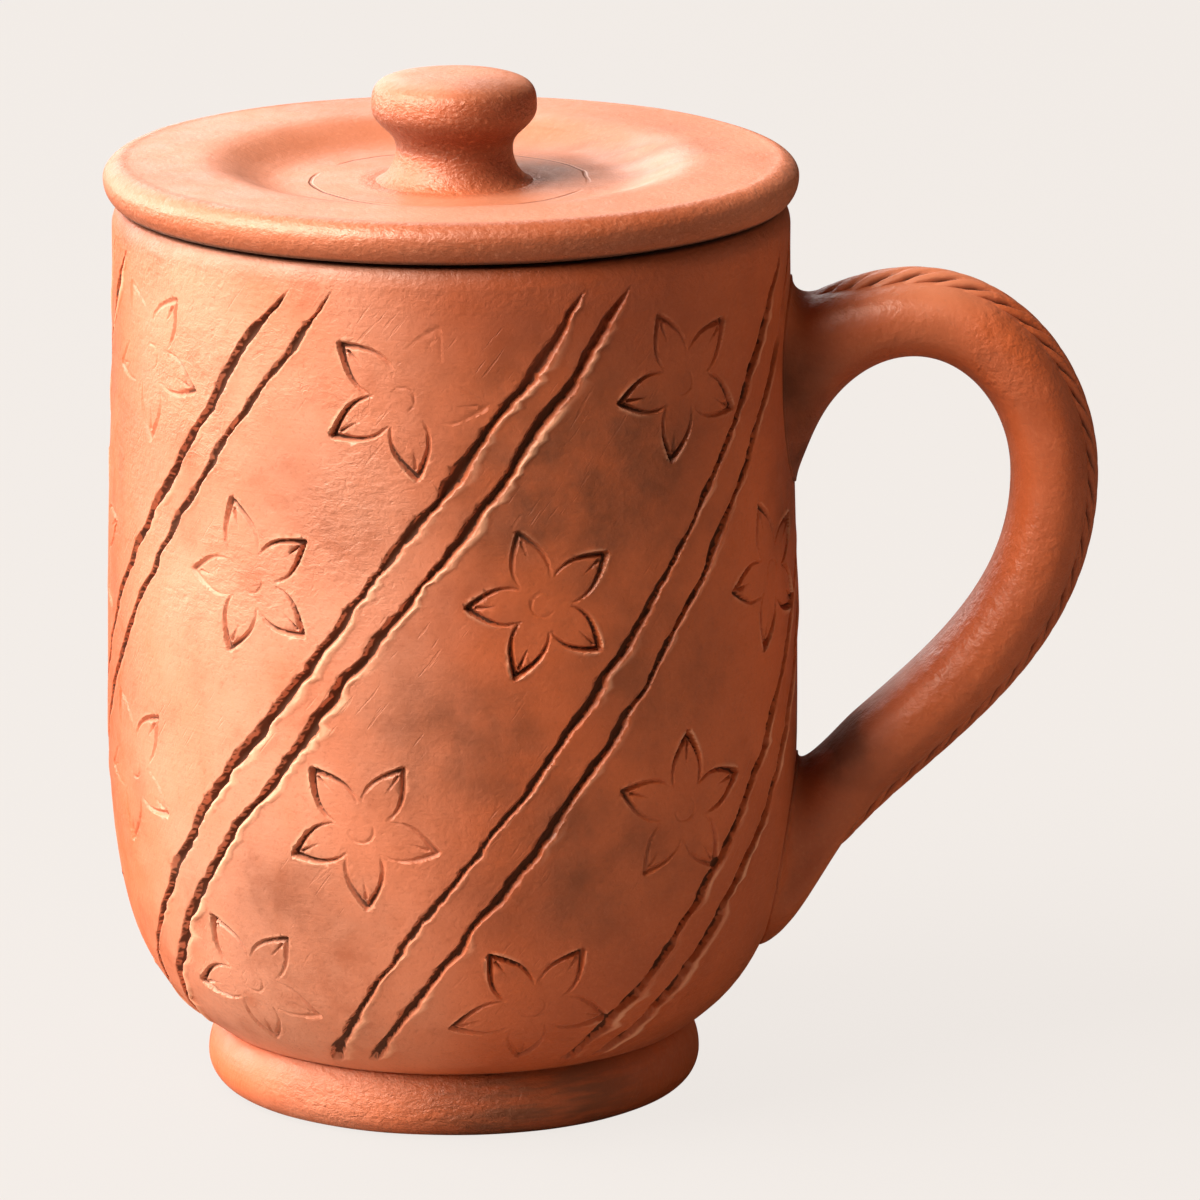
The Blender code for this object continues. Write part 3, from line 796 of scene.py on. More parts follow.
def press_petal(depth, right, up, turn, press, rng):
    """Presses the two edges and the vein of one petal, and lifts a burr outside its edges."""
    size = rng.uniform(0.95, 1.05)
    out = (up * math.cos(turn) + right * math.sin(turn)) / size
    side = (right * math.cos(turn) - up * math.sin(turn)) / size
    share = np.clip((PETAL_TIP - out) / PETAL_LENGTH, 0, 1)
    width = PETAL_HALF_WIDTH * np.sin(PETAL_SWEEP * share)
    slope = PETAL_HALF_WIDTH * PETAL_SWEEP * np.cos(PETAL_SWEEP * share) / PETAL_LENGTH
    square = np.where(share > 0, 1 / np.sqrt(1 + slope**2), 1)
    beyond = out - (PETAL_TIP - PETAL_LENGTH * share)
    fade = 1 - share
    firm = press * rng.uniform(0.85, 1.10)
    for edge in (-1, 1):
        weight = firm * rng.uniform(0.75, 1.10)
        aside = (side * edge - width) * square
        cut = np.where((aside > 0) | (beyond > 0), PETAL_CUT, PETAL_SLOPE) * (0.42 + 0.58 * fade)
        inside = (share < 1) & (-side * edge < width + 0.0001)
        deepest = PETAL_DEPTH * np.clip(weight * (0.14 + 0.86 * fade**0.8) - 0.07, 0, 2) * inside
        stroke(depth, aside, beyond, cut, deepest)
        off = np.hypot(aside - PETAL_CUT, beyond)
        burr = PETAL_BURR * weight * fade * np.exp(-((off / PETAL_CUT) ** 2))
        depth -= np.where((depth > 0) | (aside < 0), 0, burr)
    vein = np.clip((PETAL_TIP - VEIN_INSET - out) / VEIN_LENGTH, 0, 1)
    beyond = out - (PETAL_TIP - VEIN_INSET - VEIN_LENGTH * vein)
    bent = rng.uniform(-0.10, 0.10) * VEIN_LENGTH * vein
    deepest = VEIN_DEPTH * firm * rng.uniform(0.6, 1.1) * (1 - vein)
    stroke(depth, side - bent, beyond, VEIN_CUT * (1.1 - 0.7 * vein), deepest)


def stamp_flower(depth, angles, radii, along, at, flower, rng):
    """Presses five petals and the ring between them into the wall."""
    turn, tilt, _, press, leant_to, lean = flower
    angle, tilt, leant_to = math.radians(turn), math.radians(tilt), math.radians(leant_to)
    columns = np.flatnonzero(np.abs(turn_to(angles - angle)) * BELLY_RADIUS < FLOWER_REACH_ASIDE)
    rows = np.flatnonzero(np.abs(along - at) < FLOWER_REACH_UP)
    patch = depth[np.ix_(columns, rows)]
    right = turn_to(angles[columns] - angle)[:, None] * radii[rows][None, :]
    up = np.broadcast_to((along[rows] - at)[None, :], right.shape)
    for petal in range(PETALS):
        petal_turn = tilt + 2 * math.pi * petal / PETALS + rng.uniform(-PETAL_SKEW, PETAL_SKEW)
        firmness = press * (1 + lean * math.cos(petal_turn - leant_to))
        press_petal(patch, right, up, petal_turn, firmness, rng)
    ring = np.hypot(right, up) - PISTIL_RADIUS
    lopsided = 0.6 + 0.4 * np.cos(np.arctan2(up, right) - rng.uniform(0, 2 * math.pi))
    stroke(patch, ring, 0 * ring, PISTIL_CUT, PISTIL_DEPTH * lopsided)
    depth[np.ix_(columns, rows)] = patch


def carved(angles, radii, heights, along):
    """How deep the bands and flowers cut into the wall, and how much painted shade and dirt they hold, over
    its angles and heights.
    """
    depth = np.zeros((len(angles), len(heights)))
    dirt_and_shade = np.zeros_like(depth)
    rng = np.random.default_rng(11)
    for band in range(BANDS):
        angle = BAND_ANGLE + 2 * math.pi * band / BANDS
        size = {0: 1.0, 1: 0.76, BANDS - 1: 0.68}.get(band, rng.uniform(0.65, 1.0))
        for side in (0, 1):
            at = angle + (side * BAND_GAP + BAND_SCATTER * rng.uniform(-1, 1)) / BELLY_RADIUS
            cut_groove(depth, dirt_and_shade, angles, radii, heights, at, size, rng)
    flowers = list(FLOWERS)
    for height, first_turn in FLOWER_ROWS:
        for turn in first_turn + 360 * np.arange(BANDS) / BANDS:
            if HIDDEN_TURNS[0] < turn < HIDDEN_TURNS[1]:
                press, leant_to, lean = rng.uniform(0.6, 1.1), rng.uniform(0, 360), rng.uniform(0.2, 0.5)
                flowers.append((turn, rng.uniform(-45, 27), height, press, leant_to, lean))
    pressed = np.zeros_like(depth)
    for flower in flowers:
        stamp_flower(pressed, angles, radii, along, np.interp(flower[2], heights, along), flower, rng)
    depth = np.where(pressed > 0, np.maximum(depth, pressed), depth + pressed)
    # Painted shade with some dirt in the petal cuts, darker the deeper they are
    np.maximum(dirt_and_shade, np.clip(1.6 * pressed / PETAL_DEPTH - 0.30, 0, 1), out=dirt_and_shade)
    aside = turn_to(angles - math.pi / 2)[:, None] * radii[None, :]
    clear = np.ones_like(depth)
    for height, half_width, half_height in PLAIN_PATCHES:
        off = np.hypot(aside / half_width, (heights - height)[None, :] / half_height)
        clear = np.minimum(clear, smooth(1.0, 1.2, off))
    return depth * clear, dirt_and_shade * clear


def smoked_and_shaded(angles, heights):
    """How dark the fire's smoke left the wall, with painted shade on the right from the clouds in sight,
    over its angles and heights.
    """
    rng = np.random.default_rng(5)
    clouds = list(SMOKE_AND_SHADE_CLOUDS)
    for _ in range(HIDDEN_CLOUDS):
        strength = rng.uniform(0.3, 0.65)
        clouds.append((rng.uniform(75, 285), rng.uniform(0.02, 0.10), rng.uniform(0.007, 0.011), strength))
    smoke_and_shade = np.zeros((len(angles), len(heights)))
    for turn, height, reach, strength in clouds:
        aside = turn_to(angles - math.radians(turn))[:, None] * BELLY_RADIUS
        far = (aside / CLOUD_STRETCH) ** 2 + (heights - height)[None, :] ** 2
        smoke_and_shade = np.maximum(smoke_and_shade, strength * np.exp(-far / reach**2))
    return smoke_and_shade


def needed_points(places, tolerance):
    """Which points of the finest grid are needed to keep the surface within the tolerance."""
    columns, rows = places.shape[:2]
    needed = np.zeros((columns, rows), bool)

    def strays(across, up, reach_across, reach_up):
        ends = [places[(across + k * reach_across) % columns][:, up + k * reach_up] for k in (-1, 1)]
        return np.linalg.norm(places[across][:, up] - (ends[0] + ends[1]) / 2, axis=2) > tolerance

    half = 1
    while half < COARSE:
        odd_columns, even_columns = np.arange(half, columns, 2 * half), np.arange(0, columns, 2 * half)
        odd_rows, even_rows = np.arange(half, rows, 2 * half), np.arange(0, rows, 2 * half)
        flat = np.ix_(odd_columns, even_rows)
        tall = np.ix_(even_columns, odd_rows)
        middle = np.ix_(odd_columns, odd_rows)
        needed[flat] |= strays(odd_columns, even_rows, half, 0)
        needed[tall] |= strays(even_columns, odd_rows, 0, half)
        needed[middle] |= strays(odd_columns, odd_rows, half, half)
        needed[middle] |= strays(odd_columns, odd_rows, half, -half)
        needed[middle] |= needed[flat][:, :-1] | needed[flat][:, 1:]
        needed[middle] |= needed[tall] | np.roll(needed[tall], -1, axis=0)
        for at_columns, at_rows in (
            (np.arange(2 * half, columns, 4 * half), np.arange(0, rows, 4 * half)),
            (np.arange(0, columns, 4 * half), np.arange(2 * half, rows, 4 * half)),
        ):
            for across in (-half, half):
                for up in (-half, half):
                    inside = (at_rows + up >= 0) & (at_rows + up < rows)
                    children = needed[(at_columns + across) % columns][:, at_rows[inside] + up]
                    needed[np.ix_(at_columns, at_rows[inside])] |= children
        half *= 2
    return needed


def split_squares(needed):
    """Triangles over the grid, halved again and again where a needed point lies on their long side."""
    columns, rows = needed.shape
    across, up = np.meshgrid(np.arange(0, columns, COARSE), np.arange(0, rows - 1, COARSE), indexing="ij")
    low = np.stack((across.ravel(), up.ravel()), 1)
    right, top = np.array((COARSE, 0)), np.array((0, COARSE))
    corners = (low, low + right + top, low + right), (low + right + top, low, low + top)
    triangles = np.concatenate([np.stack(three, 1) for three in corners])
    done = []
    for _ in range(2 * int(math.log2(COARSE))):
        start, end, apex = triangles[:, 0], triangles[:, 1], triangles[:, 2]
        middle = (start + end) // 2
        split = needed[middle[:, 0] % columns, middle[:, 1]]
        done.append(triangles[~split])
        start, end, apex, middle = start[split], end[split], apex[split], middle[split]
        triangles = np.concatenate((np.stack((apex, start, middle), 1), np.stack((end, apex, middle), 1)))
    return np.concatenate(done + [triangles])


def carve_body(clay):
    """The body as one skin, with small triangles along the carving and large ones elsewhere."""
    rows = body_rows()
    angles = 2 * math.pi * np.arange(COLUMNS) / COLUMNS
    wall = slice(UNDERSIDE_ROWS, UNDERSIDE_ROWS + WALL_ROWS + 1)
    depth = np.zeros((COLUMNS, len(rows)))
    dirt_and_shade = np.zeros_like(depth)
    depth[:, wall], dirt_and_shade[:, wall] = carved(angles, rows[wall, 0], rows[wall, 1], lengths(rows[wall]))
    lumps = HAND_LUMP * (hand_lumps(angles, rows[:, 1], np.random.default_rng(3)) - HAND_SINK)
    lift = lumps - depth
    normals = profile_normals(rows)
    radius = rows[None, :, 0] + normals[None, :, 0] * lift
    radius = np.minimum(radius, BELLY_RADIUS - BELLY_MARGIN)
    radius[:, [0, -1]] = 0
    height = rows[None, :, 1] + normals[None, :, 1] * lift
    x, y = radius * np.sin(angles)[:, None], -radius * np.cos(angles)[:, None]
    places = np.stack((x + AXIS_X, y, height), 2)
    triangles = split_squares(needed_points(places, CARVING_TOLERANCE))
    triangles[..., 0] %= COLUMNS
    triangles[..., 0][(triangles[..., 1] == 0) | (triangles[..., 1] == len(rows) - 1)] = 0
    index = triangles[..., 0] * len(rows) + triangles[..., 1]
    used, faces = np.unique(index, return_inverse=True)
    faces = faces.reshape(-1, 3)
    flat = (faces[:, 0] == faces[:, 1]) | (faces[:, 1] == faces[:, 2]) | (faces[:, 2] == faces[:, 0])
    smoke_and_shade = np.zeros_like(depth)
    smoke_and_shade[:, wall] = smoked_and_shaded(angles, rows[wall, 1])
    # lip holds the painted highlight on the burrs
    values = {"carved": dirt_and_shade, "lip": np.clip(-depth, 0, None) * BURR_HIGHLIGHT, "smoke_and_shade": smoke_and_shade}
    values = {label: numbers.reshape(-1)[used] for label, numbers in values.items()}
    points = places.reshape(-1, 3)[used]
    shape = modelled("carved_body", points, faces[~flat].tolist(), clay, values)
    return crisp_edges(thinned(shape, BODY_TRIANGLES))


def foot_line():
    """The foot's profile as a closed loop, with its top tucked up under the body."""
    swell = FOOT_RADIUS - FOOT_BEARING_RADIUS
    centre = (FOOT_BEARING_RADIUS, FOOT_SWELL_HEIGHT)
    inner_edge = FOOT_BEARING_RADIUS - FOOT_BEARING_WIDTH
    chamfer = inner_edge - FOOT_HOLE_RADIUS
    top = arc(centre, swell, FOOT_TOP_DROOP, FOOT_TOP_TURN, 0, 24)
    return joined(
        top,
        arc(centre, swell, FOOT_SWELL_HEIGHT - FOOT_LIFT, 0, -90, 24),
        [(FOOT_BEARING_RADIUS, FOOT_LIFT), (inner_edge, FOOT_LIFT)],
        arc((inner_edge, chamfer + FOOT_LIFT), -chamfer, -chamfer, 90, 0, 6),
        [(FOOT_HOLE_RADIUS, chamfer + FOOT_LIFT), (FOOT_HOLE_RADIUS, foot_high.z)],
        [(FOOT_HOLE_RADIUS, foot_high.z), top[0]],
    )


def lid_line():
    """From the middle of the dish, over the rim and the seat, to the middle of the boss."""
    dish_edge = (DISH_RADIUS, DISH_HEIGHT)
    dish_top = (DISH_RADIUS + DISH_STEP, LID_TOP)
    ease = np.array((DISH_STEP / 2, 0))
    swell = (LID_RADIUS, LID_SWELL_HEIGHT)
    shoulder = (LID_RADIUS - LID_EDGE_ROUND, LID_TOP)
    seat = (LID_RADIUS - LID_SEAT_INSET, LID_SEAT)
    rise = (0, QUARTER * (LID_TOP - LID_SWELL_HEIGHT))
    fall = (0, -QUARTER * (LID_SWELL_HEIGHT - LID_SEAT))
    tuck = heading(LID_SEAT_ANGLE, LID_SEAT_INSET / 2)
    boss = FLANGE_RADIUS
    return joined(
        evened(np.array([(0, DISH_HEIGHT), dish_edge]), 40),
        bezier(dish_edge, ease, -ease, dish_top, 40),
        evened(np.array([dish_top, shoulder]), 24),
        bezier(shoulder, (QUARTER * LID_EDGE_ROUND, 0), rise, swell, 20),
        bezier(swell, fall, tuck, seat, 16),
        evened(np.array([seat, (boss, LID_SEAT)]), 6),
        [(boss, LID_SEAT), (boss, BOSS_BOTTOM + BOSS_ROUND)],
        arc((boss - BOSS_ROUND, BOSS_BOTTOM + BOSS_ROUND), BOSS_ROUND, BOSS_ROUND, 0, -90, 6),
        evened(np.array([(boss - BOSS_ROUND, BOSS_BOTTOM), (0, BOSS_BOTTOM)]), 24),
    )


def flange_line():
    """A closed loop hanging under the boss, drawn in a little at its lower edge."""
    inner = FLANGE_RADIUS - FLANGE_WALL
    low, taper = flange_low.z, FLANGE_TAPER
    return joined(
        [(FLANGE_RADIUS, BOSS_BOTTOM + BOSS_ROUND), (FLANGE_RADIUS, low + taper)],
        arc((FLANGE_RADIUS - taper, low + taper), taper, taper, 0, -90, 8),
        [(FLANGE_RADIUS - taper, low), (inner + taper, low)],
        arc((inner + taper, low + taper), taper, taper, -90, -180, 8),
        [(inner, low + taper), (inner, BOSS_BOTTOM + BOSS_ROUND)],
        [(inner, BOSS_BOTTOM + BOSS_ROUND), (FLANGE_RADIUS, BOSS_BOTTOM + BOSS_ROUND)],
    )


def knob_line():
    """From the middle of the crown down the head, neck and flared base."""
    foot = DISH_HEIGHT - KNOB_BED
    head = (KNOB_RADIUS, DISH_HEIGHT + KNOB_SWELL_RISE - KNOB_SETTLE)
    neck = (KNOB_NECK_RADIUS, DISH_HEIGHT + KNOB_NECK_RISE)
    base = (KNOB_BASE_RADIUS, foot)
    narrowing = np.array((0, NECK_LEAN * (KNOB_SWELL_RISE - KNOB_NECK_RISE)))
    top = KNOB_TOP - KNOB_SETTLE
    up = (0, HEAD_FULLNESS * (top - head[1]))
    flare = (BASE_FLARE * (KNOB_NECK_RADIUS - KNOB_BASE_RADIUS), 0)
    return joined(
        bezier((0, top), (KNOB_CROWN_PULL, 0), up, head, 40),
        bezier(head, -narrowing, narrowing, neck, 24),
        bezier(neck, (0, -NECK_FALL * (neck[1] - foot)), flare, base, 30),
        [base, (0, foot)],
    )


def turn_piece(name, tree, line, steps, waver, clay, aside=0.0):
    """A profile turned on the wheel in so many steps."""
    values = {"Points": len(line), "Steps": steps, "Axis": (AXIS_X + aside, 0, 0)}
    values.update({"Waver": waver, "Waver Scale": WAVER_SCALE, "Clay": clay})
    return baked(name, [(r, 0, z) for r, z in line], tree, values)


def strap_stations():
    """The strap's middle line, outward directions, half thicknesses and half widths."""
    root_height, crest_height = RIM_HEIGHT - ROOT_DROP, RIM_HEIGHT - CREST_DROP
    bow_height = RIM_HEIGHT - BOW_DROP
    root = np.array((wall_at(root_height) - ROOT_BED, root_height))
    crest = np.array((wall_at(crest_height) + CREST_OUT, crest_height))
    bow = np.array((wall_at(bow_height) + BOW_OUT, bow_height))
    tail = np.array((wall_at(TAIL_RISE) + TAIL_OUT, TAIL_RISE))
    toe = np.array((wall_at(TOE_RISE) - TOE_BED, TOE_RISE))
    over = (QUARTER * (bow[0] - crest[0]), 0)
    down = (0, QUARTER * (crest[1] - bow[1]))
    middle = joined(
        bezier(root, heading(ROOT_ANGLE, ROOT_PULL), (-CREST_PULL, 0), crest, STRAP_STEPS),
        bezier(crest, over, down, bow, STRAP_STEPS),
        bezier(bow, (0, -BOW_PULL), heading(TAIL_ANGLE, -TAIL_UPPER_PULL), tail, STRAP_STEPS),
        bezier(tail, heading(TAIL_ANGLE, TAIL_LOWER_PULL), heading(TOE_ANGLE, -TOE_PULL), toe, STRAP_STEPS),
    )
    way = np.gradient(middle, axis=0)
    way /= np.linalg.norm(way, axis=1)[:, None]
    outward = np.stack((-way[:, 1], way[:, 0]), 1)
    steps = np.arange(len(middle))
    from_root = (1 - np.clip(steps / STRAP_STEPS, 0, 1)) ** 3
    from_toe = (1 - np.clip((len(middle) - 1 - steps) / STRAP_STEPS, 0, 1)) ** 3
    thickness = STRAP_THICKNESS + (ROOT_THICKNESS - STRAP_THICKNESS) * from_root
    thickness += (TOE_THICKNESS - STRAP_THICKNESS) * from_toe
    width = STRAP_WIDTH + (ROOT_WIDTH - STRAP_WIDTH) * from_root + (TOE_WIDTH - STRAP_WIDTH) * from_toe
    return middle, outward, thickness / 2, width / 2


def strap_edge(turn, stations):
    """One edge line of the strap, from the wall at its root to the wall at its toe."""
    middle, outward, half_thickness, half_width = stations
    across = math.copysign(abs(math.cos(turn)) ** (2 / STRAP_SQUARENESS), math.cos(turn))
    out = math.copysign(abs(math.sin(turn)) ** (2 / STRAP_SQUARENESS), math.sin(turn))
    at = middle + outward * (out * half_thickness)[:, None]
    line = np.stack((at[:, 0], across * half_width, at[:, 1]), 1)
    back_r, back_z = heading(ROOT_ANGLE, ROOT_RUN_IN)
    line = np.concatenate(([line[0] - (back_r, 0, back_z)], line))
    clear = np.hypot(line[:, 0], line[:, 1]) - wall_at(line[:, 2])
    start = np.flatnonzero(clear[: 2 * STRAP_STEPS] <= 0)[-1]
    first = line[start] + (line[start + 1] - line[start]) * clear[start] / (clear[start] - clear[start + 1])
    tail = 3 * STRAP_STEPS
    toe = toe_run(line[tail - 1], line[tail], turn)
    line = joined([first, line[start + 1]], line[start + 1 : tail], toe)
    along = lengths(line)
    share = np.linspace(0, 1, STRAP_RINGS + 1)
    share -= RING_CROWDING * np.sin(2 * math.pi * share) / (2 * math.pi)
    return np.stack([np.interp(share * along[-1], along, line[:, k]) for k in range(3)], 1)


def toe_run(start, following, turn):
    """The last stretch of an edge line, which spreads the strap on the wall or rolls its end under."""
    across, out = math.cos(turn), math.sin(turn)
    height = TOE_MIDDLE - TOE_HALF_HEIGHT * out
    radius = wall_at(height)
    angle = TOE_HALF_WIDTH * across / radius
    slope = (wall_at(height + SLOPE_SPAN / 2) - wall_at(height - SLOPE_SPAN / 2)) / SLOPE_SPAN
    inward = np.array((-math.cos(angle), -math.sin(angle), 0))
    aside = np.array((-math.sin(angle), math.cos(angle), 0))
    up = np.array((slope * math.cos(angle), slope * math.sin(angle), 1))
    spread = aside * across * TOE_HALF_WIDTH - up * out * TOE_HALF_HEIGHT
    spread /= np.linalg.norm(spread)
    roll = smooth(TOE_ROLL_START, TOE_ROLL_FULL, out)
    under = TOE_ROLL_INWARD * inward - TOE_ROLL_DOWN * up
    arrive = spread * (1 - roll) + under * roll
    arrive *= (TOE_FILLET + TOE_SIDE_FILLET * abs(across) + TOE_ROLL * roll) / np.linalg.norm(arrive)
    end = -inward * radius + np.array((0, 0, height))
    leave = following - start
    leave *= TOE_LEAVE * np.linalg.norm(end - start) / np.linalg.norm(leave)
    run = bezier(start, leave, -arrive, end, 60)
    hollow = TOE_HOLLOW * max(out, 0) ** 2 * np.sin(math.pi * np.linspace(0, 1, len(run)))
    return run + hollow[:, None] * inward


def on_the_wall(line):
    """A line's places as the angle round from the handle, the height and the way out from the wall."""
    clear = np.hypot(line[:, 0], line[:, 1]) - wall_at(line[:, 2])
    return np.arctan2(line[:, 1], line[:, 0]), line[:, 2].copy(), clear


def rooted(line):
    """An edge line of the strap with its upper end spread out on the wall in a fillet."""
    angle, height, clear = on_the_wall(line)
    way = np.array((angle[0] * wall_at(height[0]), height[0] - ROOT_MIDDLE))
    way /= max(np.linalg.norm(way), 0.0001)
    fillet = ROOT_FILLET * (ROOT_FILLET_BESIDE + ROOT_FILLET_ABOVE * way[1])
    near = np.clip(1 - clear / fillet, 0, 1) * (np.arange(len(line)) < len(line) // 2)
    spread = fillet * (1 - np.sqrt(1 - near**2))
    angle += spread * way[0] / wall_at(height)
    height += spread * way[1]
    lift = ROOT_LIFT * max(way[1], 0) * smooth(ROOT_LIFT_REACH, ROOT_LIFT_FULL, clear)
    height += lift * (np.arange(len(line)) < len(line) // 2)
    reach = wall_at(height) + clear
    return np.stack((reach * np.cos(angle), reach * np.sin(angle), height), 1)


def sunk(point, depth):
    """A point moved into the wall, towards the mug's axis."""
    share = 1 - depth / math.hypot(point[0], point[1])
    return np.array((point[0] * share, point[1] * share, point[2]))


def make_handle(clay):
    """The strap as a loft whose two ends run out on the wall in fillets."""
    stations = strap_stations()
    edges = []
    for side in range(STRAP_SIDES):
        line = rooted(strap_edge(2 * math.pi * side / STRAP_SIDES, stations))
        edges.append(np.concatenate(([sunk(line[0], EDGE_BED)], line, [sunk(line[-1], EDGE_BED)])))
    rings = np.stack(edges, 1)
    root_cap = sunk(rings[0].mean(axis=0), ROOT_CAP_BED)
    toe_cap = sunk(rings[-1].mean(axis=0), TOE_CAP_BED)
    points = np.concatenate((rings.reshape(-1, 3), (root_cap, toe_cap)))
    last = (len(rings) - 1) * STRAP_SIDES
    faces = []
    for ring in range(0, last, STRAP_SIDES):
        for side in range(STRAP_SIDES):
            a, b = ring + side, ring + (side + 1) % STRAP_SIDES
            faces.append((a, b, b + STRAP_SIDES, a + STRAP_SIDES))
    for ring, cap in ((0, len(points) - 2), (last, len(points) - 1)):
        for side in range(STRAP_SIDES):
            faces.append((ring + side, ring + (side + 1) % STRAP_SIDES, cap))
    height = points[:, 2]
    clear = np.clip(np.hypot(points[:, 0], points[:, 1]) - wall_at(height), 0, 1)
    # Soot and painted shade towards the roots, where the strap meets the wall
    root_soot_and_shade = np.exp(-clear / ROOT_SOOT_AND_SHADE_REACH) * smooth(*ROOT_SOOT_AND_SHADE_TOP, height)
    root_soot_and_shade = root_soot_and_shade * smooth(*ROOT_SOOT_AND_SHADE_BOTTOM, height)
    up, out = (height - TOE_SOOT_AND_SHADE_HEIGHT) / TOE_SOOT_AND_SHADE_SPREAD, (clear - TOE_SOOT_AND_SHADE_OUT) / TOE_SOOT_AND_SHADE_REACH
    toe_soot_and_shade = TOE_SOOT_AND_SHADE * np.exp(-(up**2) - out**2)
    points[:, 0] += AXIS_X
    return modelled("strap_handle", points, faces, clay, {"soot": np.maximum(root_soot_and_shade, toe_soot_and_shade)})


def make_rope(tree, clay):
    """The rope along the strap's back, from the upper root to just short of the wall at the toe."""
    middle, outward, half_thickness, _ = strap_stations()
    back = middle + outward * half_thickness[:, None]
    gap = np.where(back[:, 1] > BELLY_HEIGHT, ROPE_TOP_GAP, ROPE_TAIL_GAP)
    clear = back[:, 0] - wall_at(back[:, 1])
    route = (back - outward * (ROPE_RADIUS - ROPE_PROUD))[clear > gap]
    length = lengths(route)[-1]
    count = int(length / ROPE_STEP)
    route = evened(route, count)
    values = {"Points": count + 1, "Steps": ROPE_SIDES, "Length": float(length), "Lay": ROPE_LAY}
    values.update({"Strands": ROPE_STRANDS, "Radius": ROPE_RADIUS, "End": ROPE_END, "Clay": clay})
    values.update({"Notch Depth": NOTCH_DEPTH, "Notch Sharpness": NOTCH_SHARPNESS})
    return baked("twisted_rope", [(x + AXIS_X, 0, z) for x, z in route], tree, values)


def new_clay(name):
    """An empty material and a wire on its tree."""
    material = bpy.data.materials.new(name)
    material.use_nodes = True
    material.node_tree.nodes.clear()
    return material, Wire(material.node_tree)


def from_axis(start):
    """Places measured from the foot of the mug's axis."""
    return start.add("ShaderNodeTexCoord").out("Object").vector("SUBTRACT", (AXIS_X, 0, 0))


def colour(start, *levels):
    wire = start.add("ShaderNodeRGB")
    wire.socket.default_value = (*levels, 1)
    return wire


def painted(start, label):
    """One of a piece's named values."""
    return start.add("ShaderNodeAttribute", {"attribute_name": label}).out("Fac")


def stretched(place, x, y, z):
    return place.vector("MULTIPLY", (x, y, z))


def finished(start, tone, roughness, height, gloss):
    """Joins a clay's colour, roughness and fine relief, the relief in metres."""
    bump = start.add("ShaderNodeBump", {}, {"Strength": 1.0, "Distance": 1.0, "Height": height})
    values = {"Base Color": tone, "Roughness": roughness, "Normal": bump, "IOR": 1.58}
    values.update({"Specular IOR Level": gloss, "Specular Tint": (1.0, 0.86, 0.70, 1)})
    values.update({"Sheen Weight": 0.05, "Sheen Roughness": 0.40, "Sheen Tint": (1.0, 0.80, 0.64, 1)})
    shader = start.add("ShaderNodeBsdfPrincipled", {}, values)
    start.add("ShaderNodeOutputMaterial", {}, {"Surface": shader})


def along_the_bands(place, up):
    """Places unwound about the axis, so that the carved bands would stand upright."""
    unwound = {"Vector": place, "Angle": up * (-BAND_LEAN / BELLY_RADIUS)}
    return place.add("ShaderNodeVectorRotate", {"rotation_type": "Z_AXIS"}, unwound)


def burnished_tone(start, place, grain, cut):
    """The body's colours: the fire's tones and smoke, with painted light on the side turned to the key
    lamp, painted shade on the right, in the cuts and under the lid, and painted highlights on the burrs.
    """
    x, y, up = place.parts()
    on_foot = up.between(BASE_HEIGHT + 0.0006, BASE_HEIGHT)
    tone = colour(start, 0.61, 0.114, 0.026)
    tone = tone.mixed((0.48, 0.081, 0.017), place.noise(24, 3, 0.55).between(0.40, 0.66))
    lit_side_turn = math.radians(LIT_SIDE_TURN)
    facing = (x * math.sin(lit_side_turn) - y * math.cos(lit_side_turn)) / (x * x + y * y).math("SQRT")
    facing = facing - up.between(BASE_HEIGHT + 0.002, BASE_HEIGHT) * 0.10
    blotches = place.noise(55, 4, 0.6).between(0.32, 0.66)
    # Painted light: the side turned to the key lamp is painted paler, less so near the base
    tone = tone.mixed((0.62, 0.226, 0.124), facing.between(0.72, 1.0) * (0.60 + blotches * 0.40))
    tone = tone.mixed((0.66, 0.175, 0.062), grain.between(0.50, 0.80) * 0.30)
    tone = tone.mixed((0.34, 0.070, 0.019), grain.between(0.48, 0.24) * 0.35)
    ragged = place.noise(120, 5, 0.62)
    tone = tone.mixed((0.40, 0.070, 0.016), ragged.between(0.50, 0.74) * 0.45)
    # Painted smoke, partly painted shade on the right side away from the key lamp
    smoke_and_shade = painted(start, "smoke_and_shade") * (0.50 + ragged.between(0.30, 0.68) * 0.55)
    tone = tone.mixed((0.150, 0.038, 0.013), smoke_and_shade.math("MINIMUM", 0.85))
    # Painted shade with some dirt in the grooves and petal cuts
    tone = tone.mixed((0.080, 0.019, 0.006), cut.between(0.08, 0.62) * 0.95)
    # Painted highlight on the burrs beside the grooves
    tone = tone.mixed((0.86, 0.42, 0.24), painted(start, "lip").between(0.15, 1.0) * 0.55)
    # Painted shade of the lid on the body under its edge, darkest right of the front
    rim_shade = place.far_from(RIM_SHADE_MIDDLE).between(0.034, 0.008)
    rim_shade = rim_shade * up.between(RIM_HEIGHT - 0.020, RIM_HEIGHT - 0.006)
    tone = tone.mixed((0.33, 0.052, 0.012), rim_shade * 0.62)
    # Painted shade of the lid's overhang in a band below the rim
    under_lid_shade = up.between(RIM_HEIGHT - 0.0040, RIM_HEIGHT - 0.0004)
    tone = tone.mixed((0.13, 0.030, 0.010), under_lid_shade * 0.42)
    # Painted shadow in the seam under the lid
    seam_shadow = up.between(RIM_HEIGHT - 0.0006, RIM_HEIGHT - 0.0001)
    tone = tone.mixed((0.06, 0.014, 0.005), seam_shadow * 0.9)
    streaks = stretched(place, 110, 110, 900).noise(1.0, 4, 0.65).between(0.36, 0.62)
    soot = place.far_from(FOOT_SOOT).between(0.022, 0.004) * on_foot * (0.35 + streaks * 0.65)
    return tone.mixed((0.17, 0.048, 0.018), soot * 0.85)


